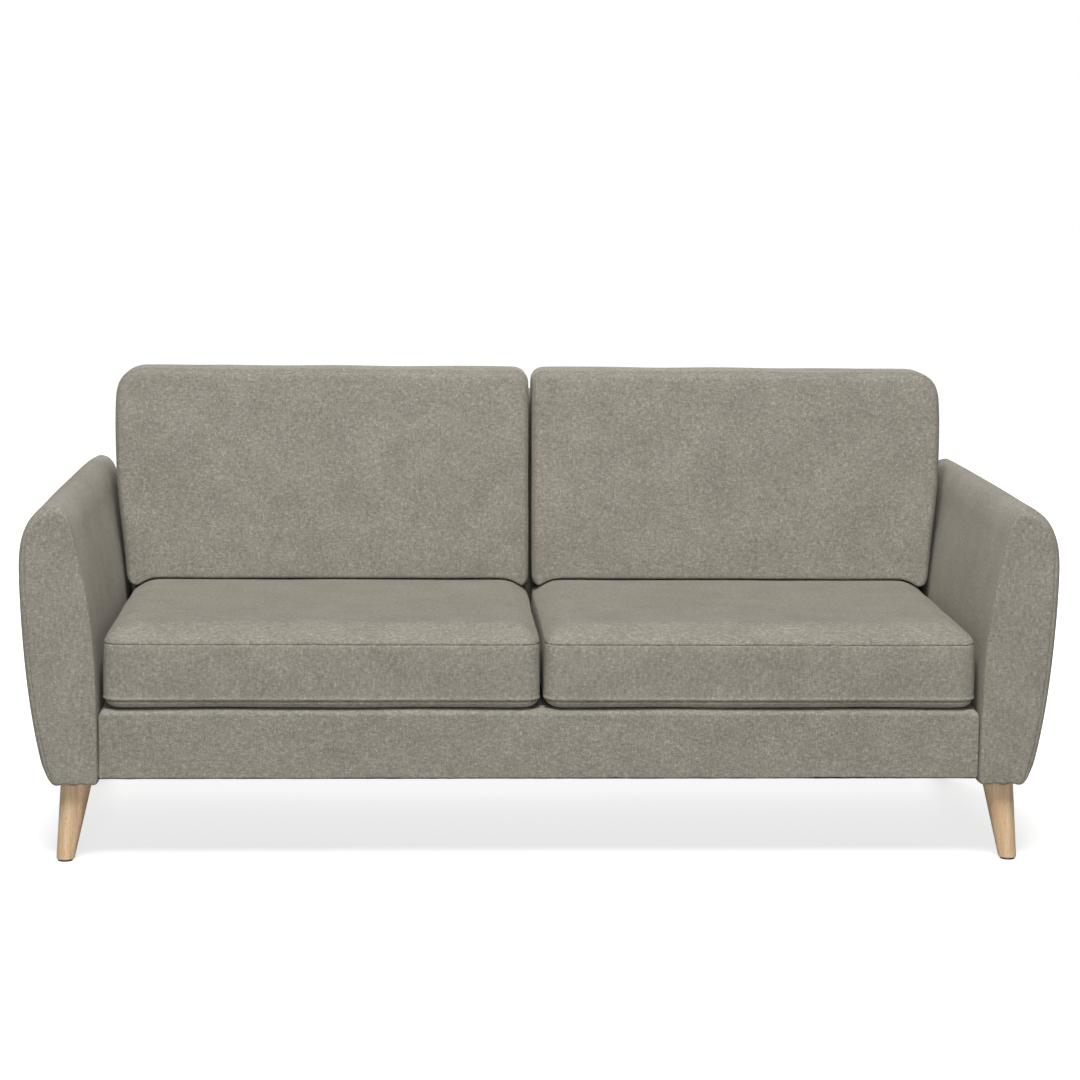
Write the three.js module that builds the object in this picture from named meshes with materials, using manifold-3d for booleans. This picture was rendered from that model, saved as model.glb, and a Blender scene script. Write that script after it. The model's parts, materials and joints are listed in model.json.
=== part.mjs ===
// An upholstered sofa: a timber frame padded with foam and covered in woven fabric, on four
// splayed wooden legs, with two loose seat cushions and two loose back cushions.
// Millimetres. +X is to the right of someone facing the sofa, +Y runs to its back, +Z is up.
// The origin is on the floor, midway between the two sides and between front and back.
import * as THREE from "three";
import { mergeVertices } from "three/addons/utils/BufferGeometryUtils.js";
import Module from "manifold-3d";

const wasm = await Module();
wasm.setup();

// Overall size
const WIDTH = 1950;
const DEPTH = 880;
const FRONT = -DEPTH / 2;
const REAR = DEPTH / 2;

// Heights above the floor
const ARM_BOTTOM = 154;
const ARM_TOP = 686;
const BASE_BOTTOM = 163;
const RAIL_TOP = 296;
const SEAT_BOTTOM = 297;
const SEAT_LOWER_SEAM = 310;
const SEAT_UPPER_SEAM = 419;
const SEAT_CROWN = 457;
const BACK_CUSHION_BOTTOM = 458;
const BACK_CUSHION_TOP = 888;
const BACK_FRAME_TOP = 832;

// Distances from the middle of the sofa, and from front to back
const ARM_INNER = 835;
const RAIL_FRONT = FRONT + 12;
const RAIL_REAR = FRONT + 56;
const SEAT_FRONT = FRONT + 6;
const SEAT_REAR = 250;
const BACK_CUSHION_DEPTH = 163;
const BACK_FACE_AT_SEAT = 288;
const BACK_LEAN = THREE.MathUtils.degToRad(11);
const REAR_LEAN = 0.096;
const BACK_EDGE = 26;
const REAR_AT_FLOOR = REAR - REAR_LEAN * (BACK_FRAME_TOP - BACK_EDGE);

// Thicknesses and clearances
const CLOTH = 2.5;
const GAP = 0.4;
const ARM_FOAM = 18;
const RAIL_FOAM = 12;
const BACK_FOAM = 12;
const BOARD = 24;
const BELOW_CLOTH = CLOTH + GAP;

// Legs
const LEG_SOLE_RADIUS = 17;
const LEG_HEAD_RADIUS = 31.5;
const LEG_SOLE = { x: 900, front: FRONT + 42, rear: 343 };
const LEG_HEAD = { x: 876, front: FRONT + 56, rear: 327 };
const LEG_TOP = 171.5;
const GLIDE_HEIGHT = 3;
const GLIDE_RADIUS = 14;
const PLATE_THICKNESS = 3;
const PLATE_HALF = 26;
const BOLT_RADIUS = 4;
const BOLT_REACH = 42;

// How finely curves are divided
const ARM_STEPS = 7;
const CORNER_STEPS = 3;
const EDGE_STEPS = 2;
const ROUND_SIDES = 24;
const BOLT_SIDES = 12;

const paint = (color, roughness, metalness = 0) => ({ color, roughness, metalness });
const FABRIC = paint("#938d84", 0.95);
const FOAM = paint("#e6dfc4", 0.9);
const OAK = paint("#d9b98f", 0.55);
const FRAME_TIMBER = paint("#c9a878", 0.75);
const PLYWOOD = paint("#c4a27a", 0.75);
const SPRING_STEEL = paint("#6c6f73", 0.4, 0.9);
const ZINC = paint("#b9bcc0", 0.35, 0.9);
const BLACK_CLOTH = paint("#26262a", 0.95);
const WEBBING = paint("#2f2f33", 0.9);
const FELT = paint("#302e2c", 0.95);
const ZIP = paint("#5d5a55", 0.6);
const GLIDE = paint("#3a3733", 0.6);

// ---- solids, joins and cuts -------------------------------------------------------------

function solid(geometry) {
  const bare = geometry.index ? geometry.toNonIndexed() : geometry.clone();
  bare.deleteAttribute("normal");
  bare.deleteAttribute("uv");
  const merged = mergeVertices(bare, 1e-3);
  return new wasm.Manifold(
    new wasm.Mesh({
      numProp: 3,
      vertProperties: merged.attributes.position.array,
      triVerts: new Uint32Array(merged.index.array),
    }),
  );
}

function surface(manifold) {
  const mesh = manifold.getMesh();
  const geometry = new THREE.BufferGeometry();
  geometry.setAttribute("position", new THREE.BufferAttribute(mesh.vertProperties, 3));
  geometry.setIndex(new THREE.BufferAttribute(mesh.triVerts, 1));
  const faceted = geometry.toNonIndexed();
  faceted.computeVertexNormals();
  return faceted;
}

function cut(geometry, ...tools) {
  return surface(tools.reduce((left, tool) => left.subtract(solid(tool)), solid(geometry)));
}

function join(...geometries) {
  return surface(geometries.map(solid).reduce((sum, next) => sum.add(next)));
}

function common(a, b) {
  return surface(solid(a).intersect(solid(b)));
}

function block(x, y, z) {
  const box = new THREE.BoxGeometry(x[1] - x[0], y[1] - y[0], z[1] - z[0]);
  return box.translate((x[0] + x[1]) / 2, (y[0] + y[1]) / 2, (z[0] + z[1]) / 2);
}

// ---- outlines and the ways they are carried through space ---------------------------------

// A closed outline with a rounded corner of its own radius at each [x, y, radius].
function roundedPolygon(corners) {
  const shape = new THREE.Shape();
  corners.forEach(([x, y, radius], index) => {
    const corner = new THREE.Vector2(x, y);
    const before = new THREE.Vector2(...corners.at(index - 1));
    const after = new THREE.Vector2(...corners[(index + 1) % corners.length]);
    const start = before.sub(corner).setLength(radius).add(corner);
    const end = after.sub(corner).setLength(radius).add(corner);
    if (index === 0) shape.moveTo(start.x, start.y);
    else shape.lineTo(start.x, start.y);
    if (radius > 0) shape.quadraticCurveTo(x, y, end.x, end.y);
  });
  shape.closePath();
  return shape;
}

// Carries an outline drawn in X and Z from `front` to `rear`, with both ends rounded over.
function alongY(outline, front, rear, rounding = 0) {
  const geometry = new THREE.ExtrudeGeometry(outline, {
    depth: rear - front - 2 * rounding,
    bevelEnabled: rounding > 0,
    bevelThickness: rounding,
    bevelSize: rounding,
    bevelOffset: -rounding,
    bevelSegments: EDGE_STEPS,
    curveSegments: ARM_STEPS,
  });
  return geometry.rotateX(Math.PI / 2).translate(0, rear - rounding, 0);
}

// Carries an outline drawn in Y and Z across the sofa, the same distance to each side.
function alongX(outline, halfLength) {
  const geometry = new THREE.ExtrudeGeometry(outline, {
    depth: 2 * halfLength,
    bevelEnabled: false,
    curveSegments: CORNER_STEPS,
  });
  const turn = new THREE.Matrix4().makeBasis(
    new THREE.Vector3(0, 1, 0),
    new THREE.Vector3(0, 0, 1),
    new THREE.Vector3(1, 0, 0),
  );
  return geometry.applyMatrix4(turn).translate(-halfLength, 0, 0);
}

// Moves every point with `shift`, which changes a THREE.Vector3 in place.
function reshape(geometry, shift) {
  const position = geometry.getAttribute("position");
  const point = new THREE.Vector3();
  for (let index = 0; index < position.count; index += 1) {
    point.fromBufferAttribute(position, index);
    shift(point);
    position.setXYZ(index, point.x, point.y, point.z);
  }
  return geometry;
}

// Leans the rear end of an arm piece with the back of the sofa.
function leanRear(geometry) {
  return reshape(geometry, (point) => {
    if (point.y > 0) point.y += REAR_LEAN * (point.z - ARM_BOTTOM);
  });
}

// A stuffed form: an outline about its own middle, drawn in by `inset` at each level.
function stuffed(outline, half, levels) {
  const last = levels.length - 1;
  const geometry = new THREE.ExtrudeGeometry(outline, {
    depth: last,
    steps: last,
    bevelEnabled: false,
    curveSegments: CORNER_STEPS,
  });
  return reshape(geometry, (point) => {
    const { at, inset } = levels[Math.round(point.z)];
    point.set(point.x * (1 - inset / half.x), point.y * (1 - inset / half.y), at);
  });
}

// A copy with each side of its box moved in by `inset`.
function shrunk(geometry, inset) {
  const copy = geometry.clone();
  copy.computeBoundingBox();
  const middle = copy.boundingBox.getCenter(new THREE.Vector3());
  const size = copy.boundingBox.getSize(new THREE.Vector3());
  const scale = [size.x, size.y, size.z].map((side) => 1 - (2 * inset) / side);
  copy.translate(-middle.x, -middle.y, -middle.z).scale(...scale);
  return copy.translate(middle.x, middle.y, middle.z);
}

// ---- the scene graph ----------------------------------------------------------------------

const sofa = new THREE.Group();

function place(name, geometry, look, parent = sofa) {
  const mesh = new THREE.Mesh(geometry, new THREE.MeshStandardMaterial(look));
  mesh.name = name;
  parent.add(mesh);
  return mesh;
}

// Places a piece made for the right-hand side, and its mirror image on the left.
function placePair(name, geometry, look, parent = sofa) {
  place(`right_${name}`, geometry, look, parent);
  place(`left_${name}`, geometry, look, parent).scale.x = -1;
}

// ---- arms -----------------------------------------------------------------------------------

// The inner face of the arm stands upright behind the seat and flares out above it.
const FLARE = { startZ: 330, lowPullZ: 480, highPullX: 31, highPullZ: 590, endX: 38, endZ: 630 };

// The rest of the outline. Each `in` is a distance in from the arm's widest point.
const TOE = { startIn: 66, cornerIn: 51, endIn: 44, rise: 15 };
const SIDE = { lowIn: 20, lowZ: 226, highIn: 1, highZ: 390, widestZ: 560 };
const CREST = { outerPullZ: 625, outerIn: 12, outerDrop: 20, in: 62, innerPull: 20 };
const SHOULDER = { pullX: 8, drop: 18 };

// Front outline of the right arm, moved inwards all round by `inset`.
function armOutline(inset) {
  const inner = ARM_INNER + inset;
  const outer = WIDTH / 2 - inset;
  const bottom = ARM_BOTTOM + inset;
  const top = ARM_TOP - inset;
  const crest = WIDTH / 2 - CREST.in;
  const shoulder = ARM_INNER + FLARE.endX + inset;
  const shape = new THREE.Shape();
  shape.moveTo(inner, bottom);
  shape.lineTo(WIDTH / 2 - TOE.startIn, bottom);
  shape.quadraticCurveTo(outer - TOE.cornerIn, bottom, outer - TOE.endIn, bottom + TOE.rise);
  shape.bezierCurveTo(
    outer - SIDE.lowIn,
    SIDE.lowZ,
    outer - SIDE.highIn,
    SIDE.highZ,
    outer,
    SIDE.widestZ,
  );
  shape.bezierCurveTo(
    outer,
    CREST.outerPullZ - inset / 2,
    outer - CREST.outerIn,
    top - CREST.outerDrop,
    crest,
    top,
  );
  shape.bezierCurveTo(
    crest - CREST.innerPull,
    top,
    shoulder + SHOULDER.pullX,
    top - SHOULDER.drop,
    shoulder,
    FLARE.endZ,
  );
  shape.bezierCurveTo(
    inner + FLARE.highPullX,
    FLARE.highPullZ,
    inner,
    FLARE.lowPullZ,
    inner,
    FLARE.startZ,
  );
  shape.closePath();
  return shape;
}

function armForm(inset, rounding = 0) {
  const rear = REAR_AT_FLOOR + REAR_LEAN * ARM_BOTTOM - inset;
  return leanRear(alongY(armOutline(inset), FRONT + inset, rear, rounding));
}

// The leg comes out through a square opening, a little outside its head because it splays.
const LEG_OPENING = { half: 36, middleX: LEG_HEAD.x + 2, reach: 10 };
const ARM_EDGE = 14;

function legOpening(end) {
  const { half, middleX, reach } = LEG_OPENING;
  const y = [LEG_HEAD[end] - half, LEG_HEAD[end] + half];
  return block([middleX - half, middleX + half], y, [ARM_BOTTOM - reach, ARM_BOTTOM + reach]);
}

function armCover() {
  const inside = armForm(CLOTH, ARM_EDGE - CLOTH);
  return cut(armForm(0, ARM_EDGE), inside, legOpening("front"), legOpening("rear"));
}

const ARM_FOAM_BOTTOM = ARM_BOTTOM + 26;

function armFoam() {
  const below = block([ARM_INNER, WIDTH / 2], [FRONT, REAR], [ARM_BOTTOM, ARM_FOAM_BOTTOM]);
  const outside = armForm(BELOW_CLOTH, ARM_EDGE);
  return cut(outside, armForm(BELOW_CLOTH + ARM_FOAM), below);
}

const FORMER_INSET = BELOW_CLOTH + ARM_FOAM + GAP;
const FORMER_FRONT = FRONT + FORMER_INSET;
const FORMER_REAR = REAR_AT_FLOOR + REAR_LEAN * ARM_BOTTOM - FORMER_INSET;
const ARM_RAIL_SPAN = [FORMER_FRONT + BOARD + GAP, FORMER_REAR - BOARD - GAP];
const BOTTOM_RAIL_Z = [LEG_TOP + PLATE_THICKNESS + 2 * GAP, LEG_TOP + 44];
const TOP_RAIL_X = [ARM_INNER + 68, ARM_INNER + 98];
const TOP_RAIL_Z = [590, 630];
const BOTTOM_RAIL_X = [LEG_HEAD.x - 20, LEG_HEAD.x + 24];

function armFormer(front) {
  return leanRear(alongY(armOutline(FORMER_INSET), front, front + BOARD));
}

function armTopRail() {
  return leanRear(block(TOP_RAIL_X, ARM_RAIL_SPAN, TOP_RAIL_Z));
}

function armBottomRail() {
  const rail = leanRear(block(BOTTOM_RAIL_X, ARM_RAIL_SPAN, BOTTOM_RAIL_Z));
  return cut(rail, legBolt("front", GAP), legBolt("rear", GAP));
}

// ---- legs -----------------------------------------------------------------------------------

// A round bar about the sloping axis of a right-hand leg, between two heights on that axis.
function aboutLegAxis(end, radiusLow, radiusHigh, low, high, sides) {
  const foot = new THREE.Vector3(LEG_SOLE.x, LEG_SOLE[end], 0);
  const head = new THREE.Vector3(LEG_HEAD.x, LEG_HEAD[end], LEG_TOP);
  const axis = head.clone().sub(foot).normalize();
  const bar = new THREE.CylinderGeometry(radiusHigh, radiusLow, high - low, sides);
  bar.translate(0, (high + low) / 2, 0);
  bar.applyQuaternion(new THREE.Quaternion().setFromUnitVectors(new THREE.Vector3(0, 1, 0), axis));
  return bar.translate(foot.x, foot.y, foot.z);
}

function legBolt(end, clearance = 0) {
  const radius = BOLT_RADIUS + clearance;
  const low = LEG_TOP - BOLT_REACH - clearance;
  const high = LEG_TOP + BOLT_REACH / 2 + clearance;
  return aboutLegAxis(end, radius, radius, low, high, BOLT_SIDES);
}

// The bar is left longer at both ends, then trimmed level with the floor.
const LEG_SPARE = 10;

function leg(end) {
  const taper = (LEG_HEAD_RADIUS - LEG_SOLE_RADIUS) / LEG_TOP;
  const low = LEG_SOLE_RADIUS - taper * LEG_SPARE;
  const high = LEG_HEAD_RADIUS + taper * LEG_SPARE;
  const bar = aboutLegAxis(end, low, high, -LEG_SPARE, LEG_TOP + LEG_SPARE, ROUND_SIDES);
  const trim = block([0, WIDTH / 2], [FRONT, REAR], [GLIDE_HEIGHT + GAP, LEG_TOP]);
  return cut(common(bar, trim), legBolt(end, GAP));
}

function legPlate(end) {
  const x = [LEG_HEAD.x - PLATE_HALF, LEG_HEAD.x + PLATE_HALF];
  const y = [LEG_HEAD[end] - PLATE_HALF, LEG_HEAD[end] + PLATE_HALF];
  const z = [LEG_TOP + GAP, LEG_TOP + GAP + PLATE_THICKNESS];
  return cut(block(x, y, z), legBolt(end, GAP));
}

function glide(end) {
  const disc = new THREE.CylinderGeometry(GLIDE_RADIUS, GLIDE_RADIUS, GLIDE_HEIGHT, ROUND_SIDES);
  return disc.rotateX(Math.PI / 2).translate(LEG_SOLE.x, LEG_SOLE[end], GLIDE_HEIGHT / 2);
}

// ---- seat base ------------------------------------------------------------------------------

const BASE_HALF = ARM_INNER - 2;
const RAIL_UPPER_EDGE = 16;
const RAIL_LOWER_EDGE = 8;

// Section of the front rail's wrapping, from its rounded front edges back to `rear`.
function railSection(inset, rear) {
  const front = RAIL_FRONT + inset;
  const bottom = BASE_BOTTOM + inset;
  const top = RAIL_TOP - inset;
  return roundedPolygon([
    [front, bottom, Math.max(1, RAIL_LOWER_EDGE - inset)],
    [rear, bottom, 0],
    [rear, top, 0],
    [front, top, Math.max(1, RAIL_UPPER_EDGE - inset)],
  ]);
}

// A layer wrapped over the front, top and underside of the front rail, open at the back.
function railWrap(inset, thickness, halfLength) {
  const layer = alongX(railSection(inset, RAIL_REAR), halfLength);
  return cut(layer, alongX(railSection(inset + thickness, RAIL_REAR + 1), WIDTH / 2));
}

const TIMBER_INSET = BELOW_CLOTH + RAIL_FOAM + GAP;
const FRAME_BOTTOM = BASE_BOTTOM + 6;
const DECK_BOTTOM = RAIL_TOP - 6;
const FRAME_TOP = DECK_BOTTOM - GAP;
const FRAME_FRONT = RAIL_REAR + GAP;
const FRAME_REAR = 225;
const SIDE_RAIL_OUTER = BASE_HALF - 6;

function frontSeatRail() {
  const y = [RAIL_FRONT + TIMBER_INSET, RAIL_REAR];
  const z = [BASE_BOTTOM + TIMBER_INSET, RAIL_TOP - TIMBER_INSET];
  return block([-SIDE_RAIL_OUTER, SIDE_RAIL_OUTER], y, z);
}

function seatSideRail() {
  const x = [SIDE_RAIL_OUTER - BOARD, SIDE_RAIL_OUTER];
  return block(x, [FRAME_FRONT, FRAME_REAR], [FRAME_BOTTOM, FRAME_TOP]);
}

function backSeatRail() {
  const reach = SIDE_RAIL_OUTER - BOARD - GAP;
  const y = [FRAME_REAR - BOARD, FRAME_REAR];
  return block([-reach, reach], y, [FRAME_BOTTOM, FRAME_TOP]);
}

function centreSeatRail() {
  const y = [FRAME_FRONT, FRAME_REAR - BOARD - GAP];
  return block([-BOARD / 2, BOARD / 2], y, [FRAME_BOTTOM, FRAME_BOTTOM + 70]);
}

const SPRING_SPAN = [FRAME_FRONT + 2, FRAME_REAR - BOARD - GAP - 2];
const SPRING_Z = 262;
const SPRING_RISE = 12;
const SPRING_SWING = 24;
const SPRING_BENDS = 12;
const SPRING_WIRE = 2;
const SPRINGS_PER_SEAT = 5;
const FIRST_SPRING = 80;
const SPRING_PITCH = 166;
const TIE_SHARES = [0.25, 0.5, 0.75];
const TIE_OVERHANG = 30;
const TIE_HALF = 1.5;

// How high the arched springs stand, for a share of their length from front to back.
const springHeight = (share) => SPRING_Z + SPRING_RISE * Math.sin(Math.PI * share);
const springY = (share) => THREE.MathUtils.lerp(SPRING_SPAN[0], SPRING_SPAN[1], share);

function sinuousSpring(x) {
  const points = [];
  for (let bend = 0; bend <= SPRING_BENDS; bend += 1) {
    const share = bend / SPRING_BENDS;
    const atEnd = bend === 0 || bend === SPRING_BENDS;
    const swing = atEnd ? 0 : SPRING_SWING * (bend % 2 ? 1 : -1);
    points.push(new THREE.Vector3(x + swing, springY(share), springHeight(share)));
  }
  const wire = new THREE.Shape();
  wire.absarc(0, 0, SPRING_WIRE, 0, 2 * Math.PI);
  return new THREE.ExtrudeGeometry(wire, {
    steps: 3 * SPRING_BENDS,
    extrudePath: new THREE.CatmullRomCurve3(points),
    curveSegments: 2,
    bevelEnabled: false,
  });
}

// The springs of one seat, held side by side by three tie wires.
function seatSprings() {
  const springs = [];
  for (let index = 0; index < SPRINGS_PER_SEAT; index += 1) {
    springs.push(sinuousSpring(FIRST_SPRING + index * SPRING_PITCH));
  }
  const last = FIRST_SPRING + (SPRINGS_PER_SEAT - 1) * SPRING_PITCH;
  const reach = [FIRST_SPRING - TIE_OVERHANG, last + TIE_OVERHANG];
  const ties = TIE_SHARES.map((share) => {
    const y = springY(share);
    const z = springHeight(share);
    return block(reach, [y - TIE_HALF, y + TIE_HALF], [z - TIE_HALF, z + TIE_HALF]);
  });
  return join(...springs, ...ties);
}

const DECK_THICKNESS = 3;
const DECK_REAR = SEAT_REAR - 4;

function seatDeck() {
  const x = [-SIDE_RAIL_OUTER, SIDE_RAIL_OUTER];
  return block(x, [FRAME_FRONT, DECK_REAR], [DECK_BOTTOM, DECK_BOTTOM + DECK_THICKNESS]);
}

const DUST_COVER_Z = [BASE_BOTTOM - 2.2, BASE_BOTTOM - 0.6];

function dustCover() {
  const y = [RAIL_FRONT + 8, rearFaceY(BASE_BOTTOM) - 6];
  return block([-BASE_HALF, BASE_HALF], y, DUST_COVER_Z);
}

// ---- back -----------------------------------------------------------------------------------

const BACK_CLEARANCE = 1.5;
const BACK_CORNER = 45;

const backFaceY = (z) => BACK_FACE_AT_SEAT + Math.tan(BACK_LEAN) * (z - SEAT_CROWN);
const rearFaceY = (z) => REAR_AT_FLOOR + REAR_LEAN * z;

// Side section of the upholstered back: a wedge that leans back and thins towards the top.
function backSection(inset) {
  const bottom = BASE_BOTTOM + inset;
  const top = BACK_FRAME_TOP - inset;
  const radius = BACK_EDGE - inset;
  return roundedPolygon([
    [backFaceY(bottom) + inset, bottom, 0],
    [rearFaceY(bottom) - inset, bottom, 0],
    [rearFaceY(top) - inset, top, radius],
    [backFaceY(top) + inset, top, radius],
  ]);
}

// Front outline of the back: its sides follow the flare of the arms.
function backOutline(inset) {
  const low = ARM_INNER - BACK_CLEARANCE - inset;
  const high = low + FLARE.endX;
  const top = BACK_FRAME_TOP + 1;
  const corner = BACK_CORNER - inset;
  const shape = new THREE.Shape();
  shape.moveTo(0, BASE_BOTTOM - 1);
  shape.lineTo(low, BASE_BOTTOM - 1);
  shape.lineTo(low, FLARE.startZ);
  shape.bezierCurveTo(
    low,
    FLARE.lowPullZ,
    low + FLARE.highPullX,
    FLARE.highPullZ,
    high,
    FLARE.endZ,
  );
  shape.lineTo(high, top - inset - corner);
  shape.quadraticCurveTo(high, top - inset, high - corner, top - inset);
  shape.lineTo(0, top - inset);
  shape.closePath();
  return shape;
}

// The whole form is the side section carried across, trimmed to the front outline on each side.
function backForm(inset) {
  const across = alongX(backSection(inset), WIDTH / 2);
  const right = alongY(backOutline(inset), 0, REAR + 1);
  const left = surface(solid(right).mirror([1, 0, 0]));
  return common(across, join(right, left));
}

// The covering and the foam stop short of the underside, which stays open in the middle.
const UNDER_BACK = { halfWidth: 700, edge: 28, height: 30 };

function openingUnderBack() {
  const { halfWidth, edge, height } = UNDER_BACK;
  const y = [backFaceY(BASE_BOTTOM) + edge, rearFaceY(BASE_BOTTOM) - edge];
  return block([-halfWidth, halfWidth], y, [BASE_BOTTOM - 1, BASE_BOTTOM + height]);
}

function backCover() {
  return cut(backForm(0), backForm(CLOTH), openingUnderBack());
}

function backFoam() {
  return cut(backForm(BELOW_CLOTH), backForm(BELOW_CLOTH + BACK_FOAM), openingUnderBack());
}

const BACK_BOARD_FOOT = { y: 330, z: BASE_BOTTOM + 18 };
const BACK_BOARD_LEAN = THREE.MathUtils.degToRad(6.3);
const BACK_BOARD_HALF = 20;
const BACK_BOARD_LENGTH = 606;
const BACK_RAIL_HEIGHT = 58;
const BACK_REACH = 806;

// The back's boards are upright in their own frame, which leans with the back.
function buildBackFrame() {
  const frame = new THREE.Group();
  frame.position.set(0, BACK_BOARD_FOOT.y, BACK_BOARD_FOOT.z);
  frame.rotation.x = -BACK_BOARD_LEAN;
  sofa.add(frame);
  const y = [-BACK_BOARD_HALF, BACK_BOARD_HALF];
  const across = [-BACK_REACH, BACK_REACH];
  const upperRail = [BACK_BOARD_LENGTH - BACK_RAIL_HEIGHT, BACK_BOARD_LENGTH];
  const between = [BACK_RAIL_HEIGHT + GAP, upperRail[0] - GAP];
  place("back_bottom_rail", block(across, y, [0, BACK_RAIL_HEIGHT]), FRAME_TIMBER, frame);
  place("back_top_rail", block(across, y, upperRail), FRAME_TIMBER, frame);
  place("back_centre_stile", block([-BOARD, BOARD], y, between), FRAME_TIMBER, frame);
  const stile = block([BACK_REACH - 2 * BOARD, BACK_REACH], y, between);
  placePair("back_side_stile", stile, FRAME_TIMBER, frame);
  place("back_webbing", backWebbing(), WEBBING, frame);
}

const BELT = { half: 25, thickness: 1.6, endMargin: 6 };
const BELT_ROWS = { count: 4, first: 90, pitch: 136 };
const BELT_COLUMNS = { eachSide: 3, pitch: 235 };

// Elastic belts across the front of the boards, some across and some up and down.
function backWebbing() {
  const front = -BACK_BOARD_HALF - GAP;
  const y = [front - BELT.thickness, front];
  const upright = [BELT.endMargin, BACK_BOARD_LENGTH - BELT.endMargin];
  const belts = [];
  for (let row = 0; row < BELT_ROWS.count; row += 1) {
    const z = BELT_ROWS.first + row * BELT_ROWS.pitch;
    belts.push(block([-BACK_REACH, BACK_REACH], y, [z - BELT.half, z + BELT.half]));
  }
  for (let column = -BELT_COLUMNS.eachSide; column <= BELT_COLUMNS.eachSide; column += 1) {
    const x = column * BELT_COLUMNS.pitch;
    belts.push(block([x - BELT.half, x + BELT.half], y, upright));
  }
  return join(...belts);
}

// ---- loose cushions -------------------------------------------------------------------------

const MIDDLE_GAP = 2;
const SEAT_OUTER = 828;
const SEAT_CORNER = 34;
const BACK_OUTER_LOW = 838;
const BACK_OUTER_HIGH = 871;
const BACK_CORNERS = { bottom: 18, outerTop: 68, innerTop: 36 };
const BEHIND_BACK_CUSHION = 5;
const ZIP_LENGTH = 560;
const ZIP_HEIGHT = 6;
const BACK_ZIP_IN = 60;

const level = (at, inset) => ({ at, inset });

function seatCushionForm() {
  const half = {
    x: (SEAT_OUTER - MIDDLE_GAP) / 2,
    y: (SEAT_REAR - SEAT_FRONT) / 2,
  };
  const outline = roundedPolygon([
    [-half.x, -half.y, SEAT_CORNER],
    [half.x, -half.y, SEAT_CORNER],
    [half.x, half.y, SEAT_CORNER],
    [-half.x, half.y, SEAT_CORNER],
  ]);
  const crown = SEAT_CROWN - SEAT_UPPER_SEAM;
  const form = stuffed(outline, half, [
    level(SEAT_BOTTOM, 26),
    level(SEAT_BOTTOM + 4, 8),
    level(SEAT_LOWER_SEAM, 0),
    level(SEAT_UPPER_SEAM, 0),
    level(SEAT_UPPER_SEAM + 0.4 * crown, 24),
    level(SEAT_UPPER_SEAM + 0.75 * crown, 80),
    level(SEAT_UPPER_SEAM + 0.94 * crown, 160),
    level(SEAT_CROWN, 250),
  ]);
  return form.translate(MIDDLE_GAP + half.x, SEAT_FRONT + half.y, 0);
}

// The back cushion is drawn from the front, then sheared so that it leans on the back.
function backCushionForm() {
  const inner = MIDDLE_GAP;
  const bottom = BACK_CUSHION_BOTTOM;
  const top = BACK_CUSHION_TOP;
  const middle = { x: (inner + BACK_OUTER_HIGH) / 2, z: (bottom + top) / 2 };
  const half = { x: (BACK_OUTER_HIGH - inner) / 2, y: (top - bottom) / 2 };
  const outline = roundedPolygon([
    [inner - middle.x, bottom - middle.z, BACK_CORNERS.bottom],
    [BACK_OUTER_LOW - middle.x, bottom - middle.z, BACK_CORNERS.bottom],
    [BACK_OUTER_HIGH - middle.x, top - middle.z, BACK_CORNERS.outerTop],
    [inner - middle.x, top - middle.z, BACK_CORNERS.innerTop],
  ]);
  const thick = BACK_CUSHION_DEPTH;
  const form = stuffed(outline, half, [
    level(0, 30),
    level(5, 8),
    level(16, 0),
    level(thick - 24, 0),
    level(thick - 10, 8),
    level(thick - 3, 40),
    level(thick, 110),
  ]);
  form.rotateX(Math.PI / 2);
  form.translate(middle.x, backFaceY(bottom) - BEHIND_BACK_CUSHION, middle.z);
  return reshape(form, (point) => {
    point.y += Math.tan(BACK_LEAN) * (point.z - bottom);
  });
}

// A cushion is a sewn cover round a foam core, closed by a zip in `slot`.
function buildCushion(name, form, slot) {
  const opening = block(...slot);
  placePair(`${name}_cover`, cut(form, shrunk(form, CLOTH), opening), FABRIC);
  placePair(`${name}_core`, shrunk(form, BELOW_CLOTH), FOAM);
  placePair(`${name}_zip`, shrunk(opening, GAP), ZIP);
}

function zipSpan() {
  const middle = SEAT_OUTER / 2;
  return [middle - ZIP_LENGTH / 2, middle + ZIP_LENGTH / 2];
}

function buildCushions() {
  const seatMiddle = (SEAT_LOWER_SEAM + SEAT_UPPER_SEAM) / 2;
  const seatZipZ = [seatMiddle - ZIP_HEIGHT / 2, seatMiddle + ZIP_HEIGHT / 2];
  const seatZipY = [SEAT_REAR - CLOTH - GAP, SEAT_REAR + 1];
  buildCushion("seat_cushion", seatCushionForm(), [zipSpan(), seatZipY, seatZipZ]);
  const backZipY = backFaceY(BACK_CUSHION_BOTTOM) - BACK_ZIP_IN;
  const backZipZ = [BACK_CUSHION_BOTTOM - 1, BACK_CUSHION_BOTTOM + CLOTH + GAP];
  buildCushion("back_cushion", backCushionForm(), [
    zipSpan(),
    [backZipY, backZipY + ZIP_HEIGHT],
    backZipZ,
  ]);
}

// ---- assembly -------------------------------------------------------------------------------

placePair("arm_cover", armCover(), FABRIC);
placePair("arm_foam", armFoam(), FOAM);
placePair("arm_front_former", armFormer(FORMER_FRONT), PLYWOOD);
placePair("arm_rear_former", armFormer(FORMER_REAR - BOARD), PLYWOOD);
placePair("arm_top_rail", armTopRail(), FRAME_TIMBER);
placePair("arm_bottom_rail", armBottomRail(), FRAME_TIMBER);

for (const end of ["front", "rear"]) {
  placePair(`${end}_leg`, leg(end), OAK);
  placePair(`${end}_leg_plate`, legPlate(end), ZINC);
  placePair(`${end}_leg_bolt`, legBolt(end), ZINC);
  placePair(`${end}_glide`, glide(end), GLIDE);
}

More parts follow.
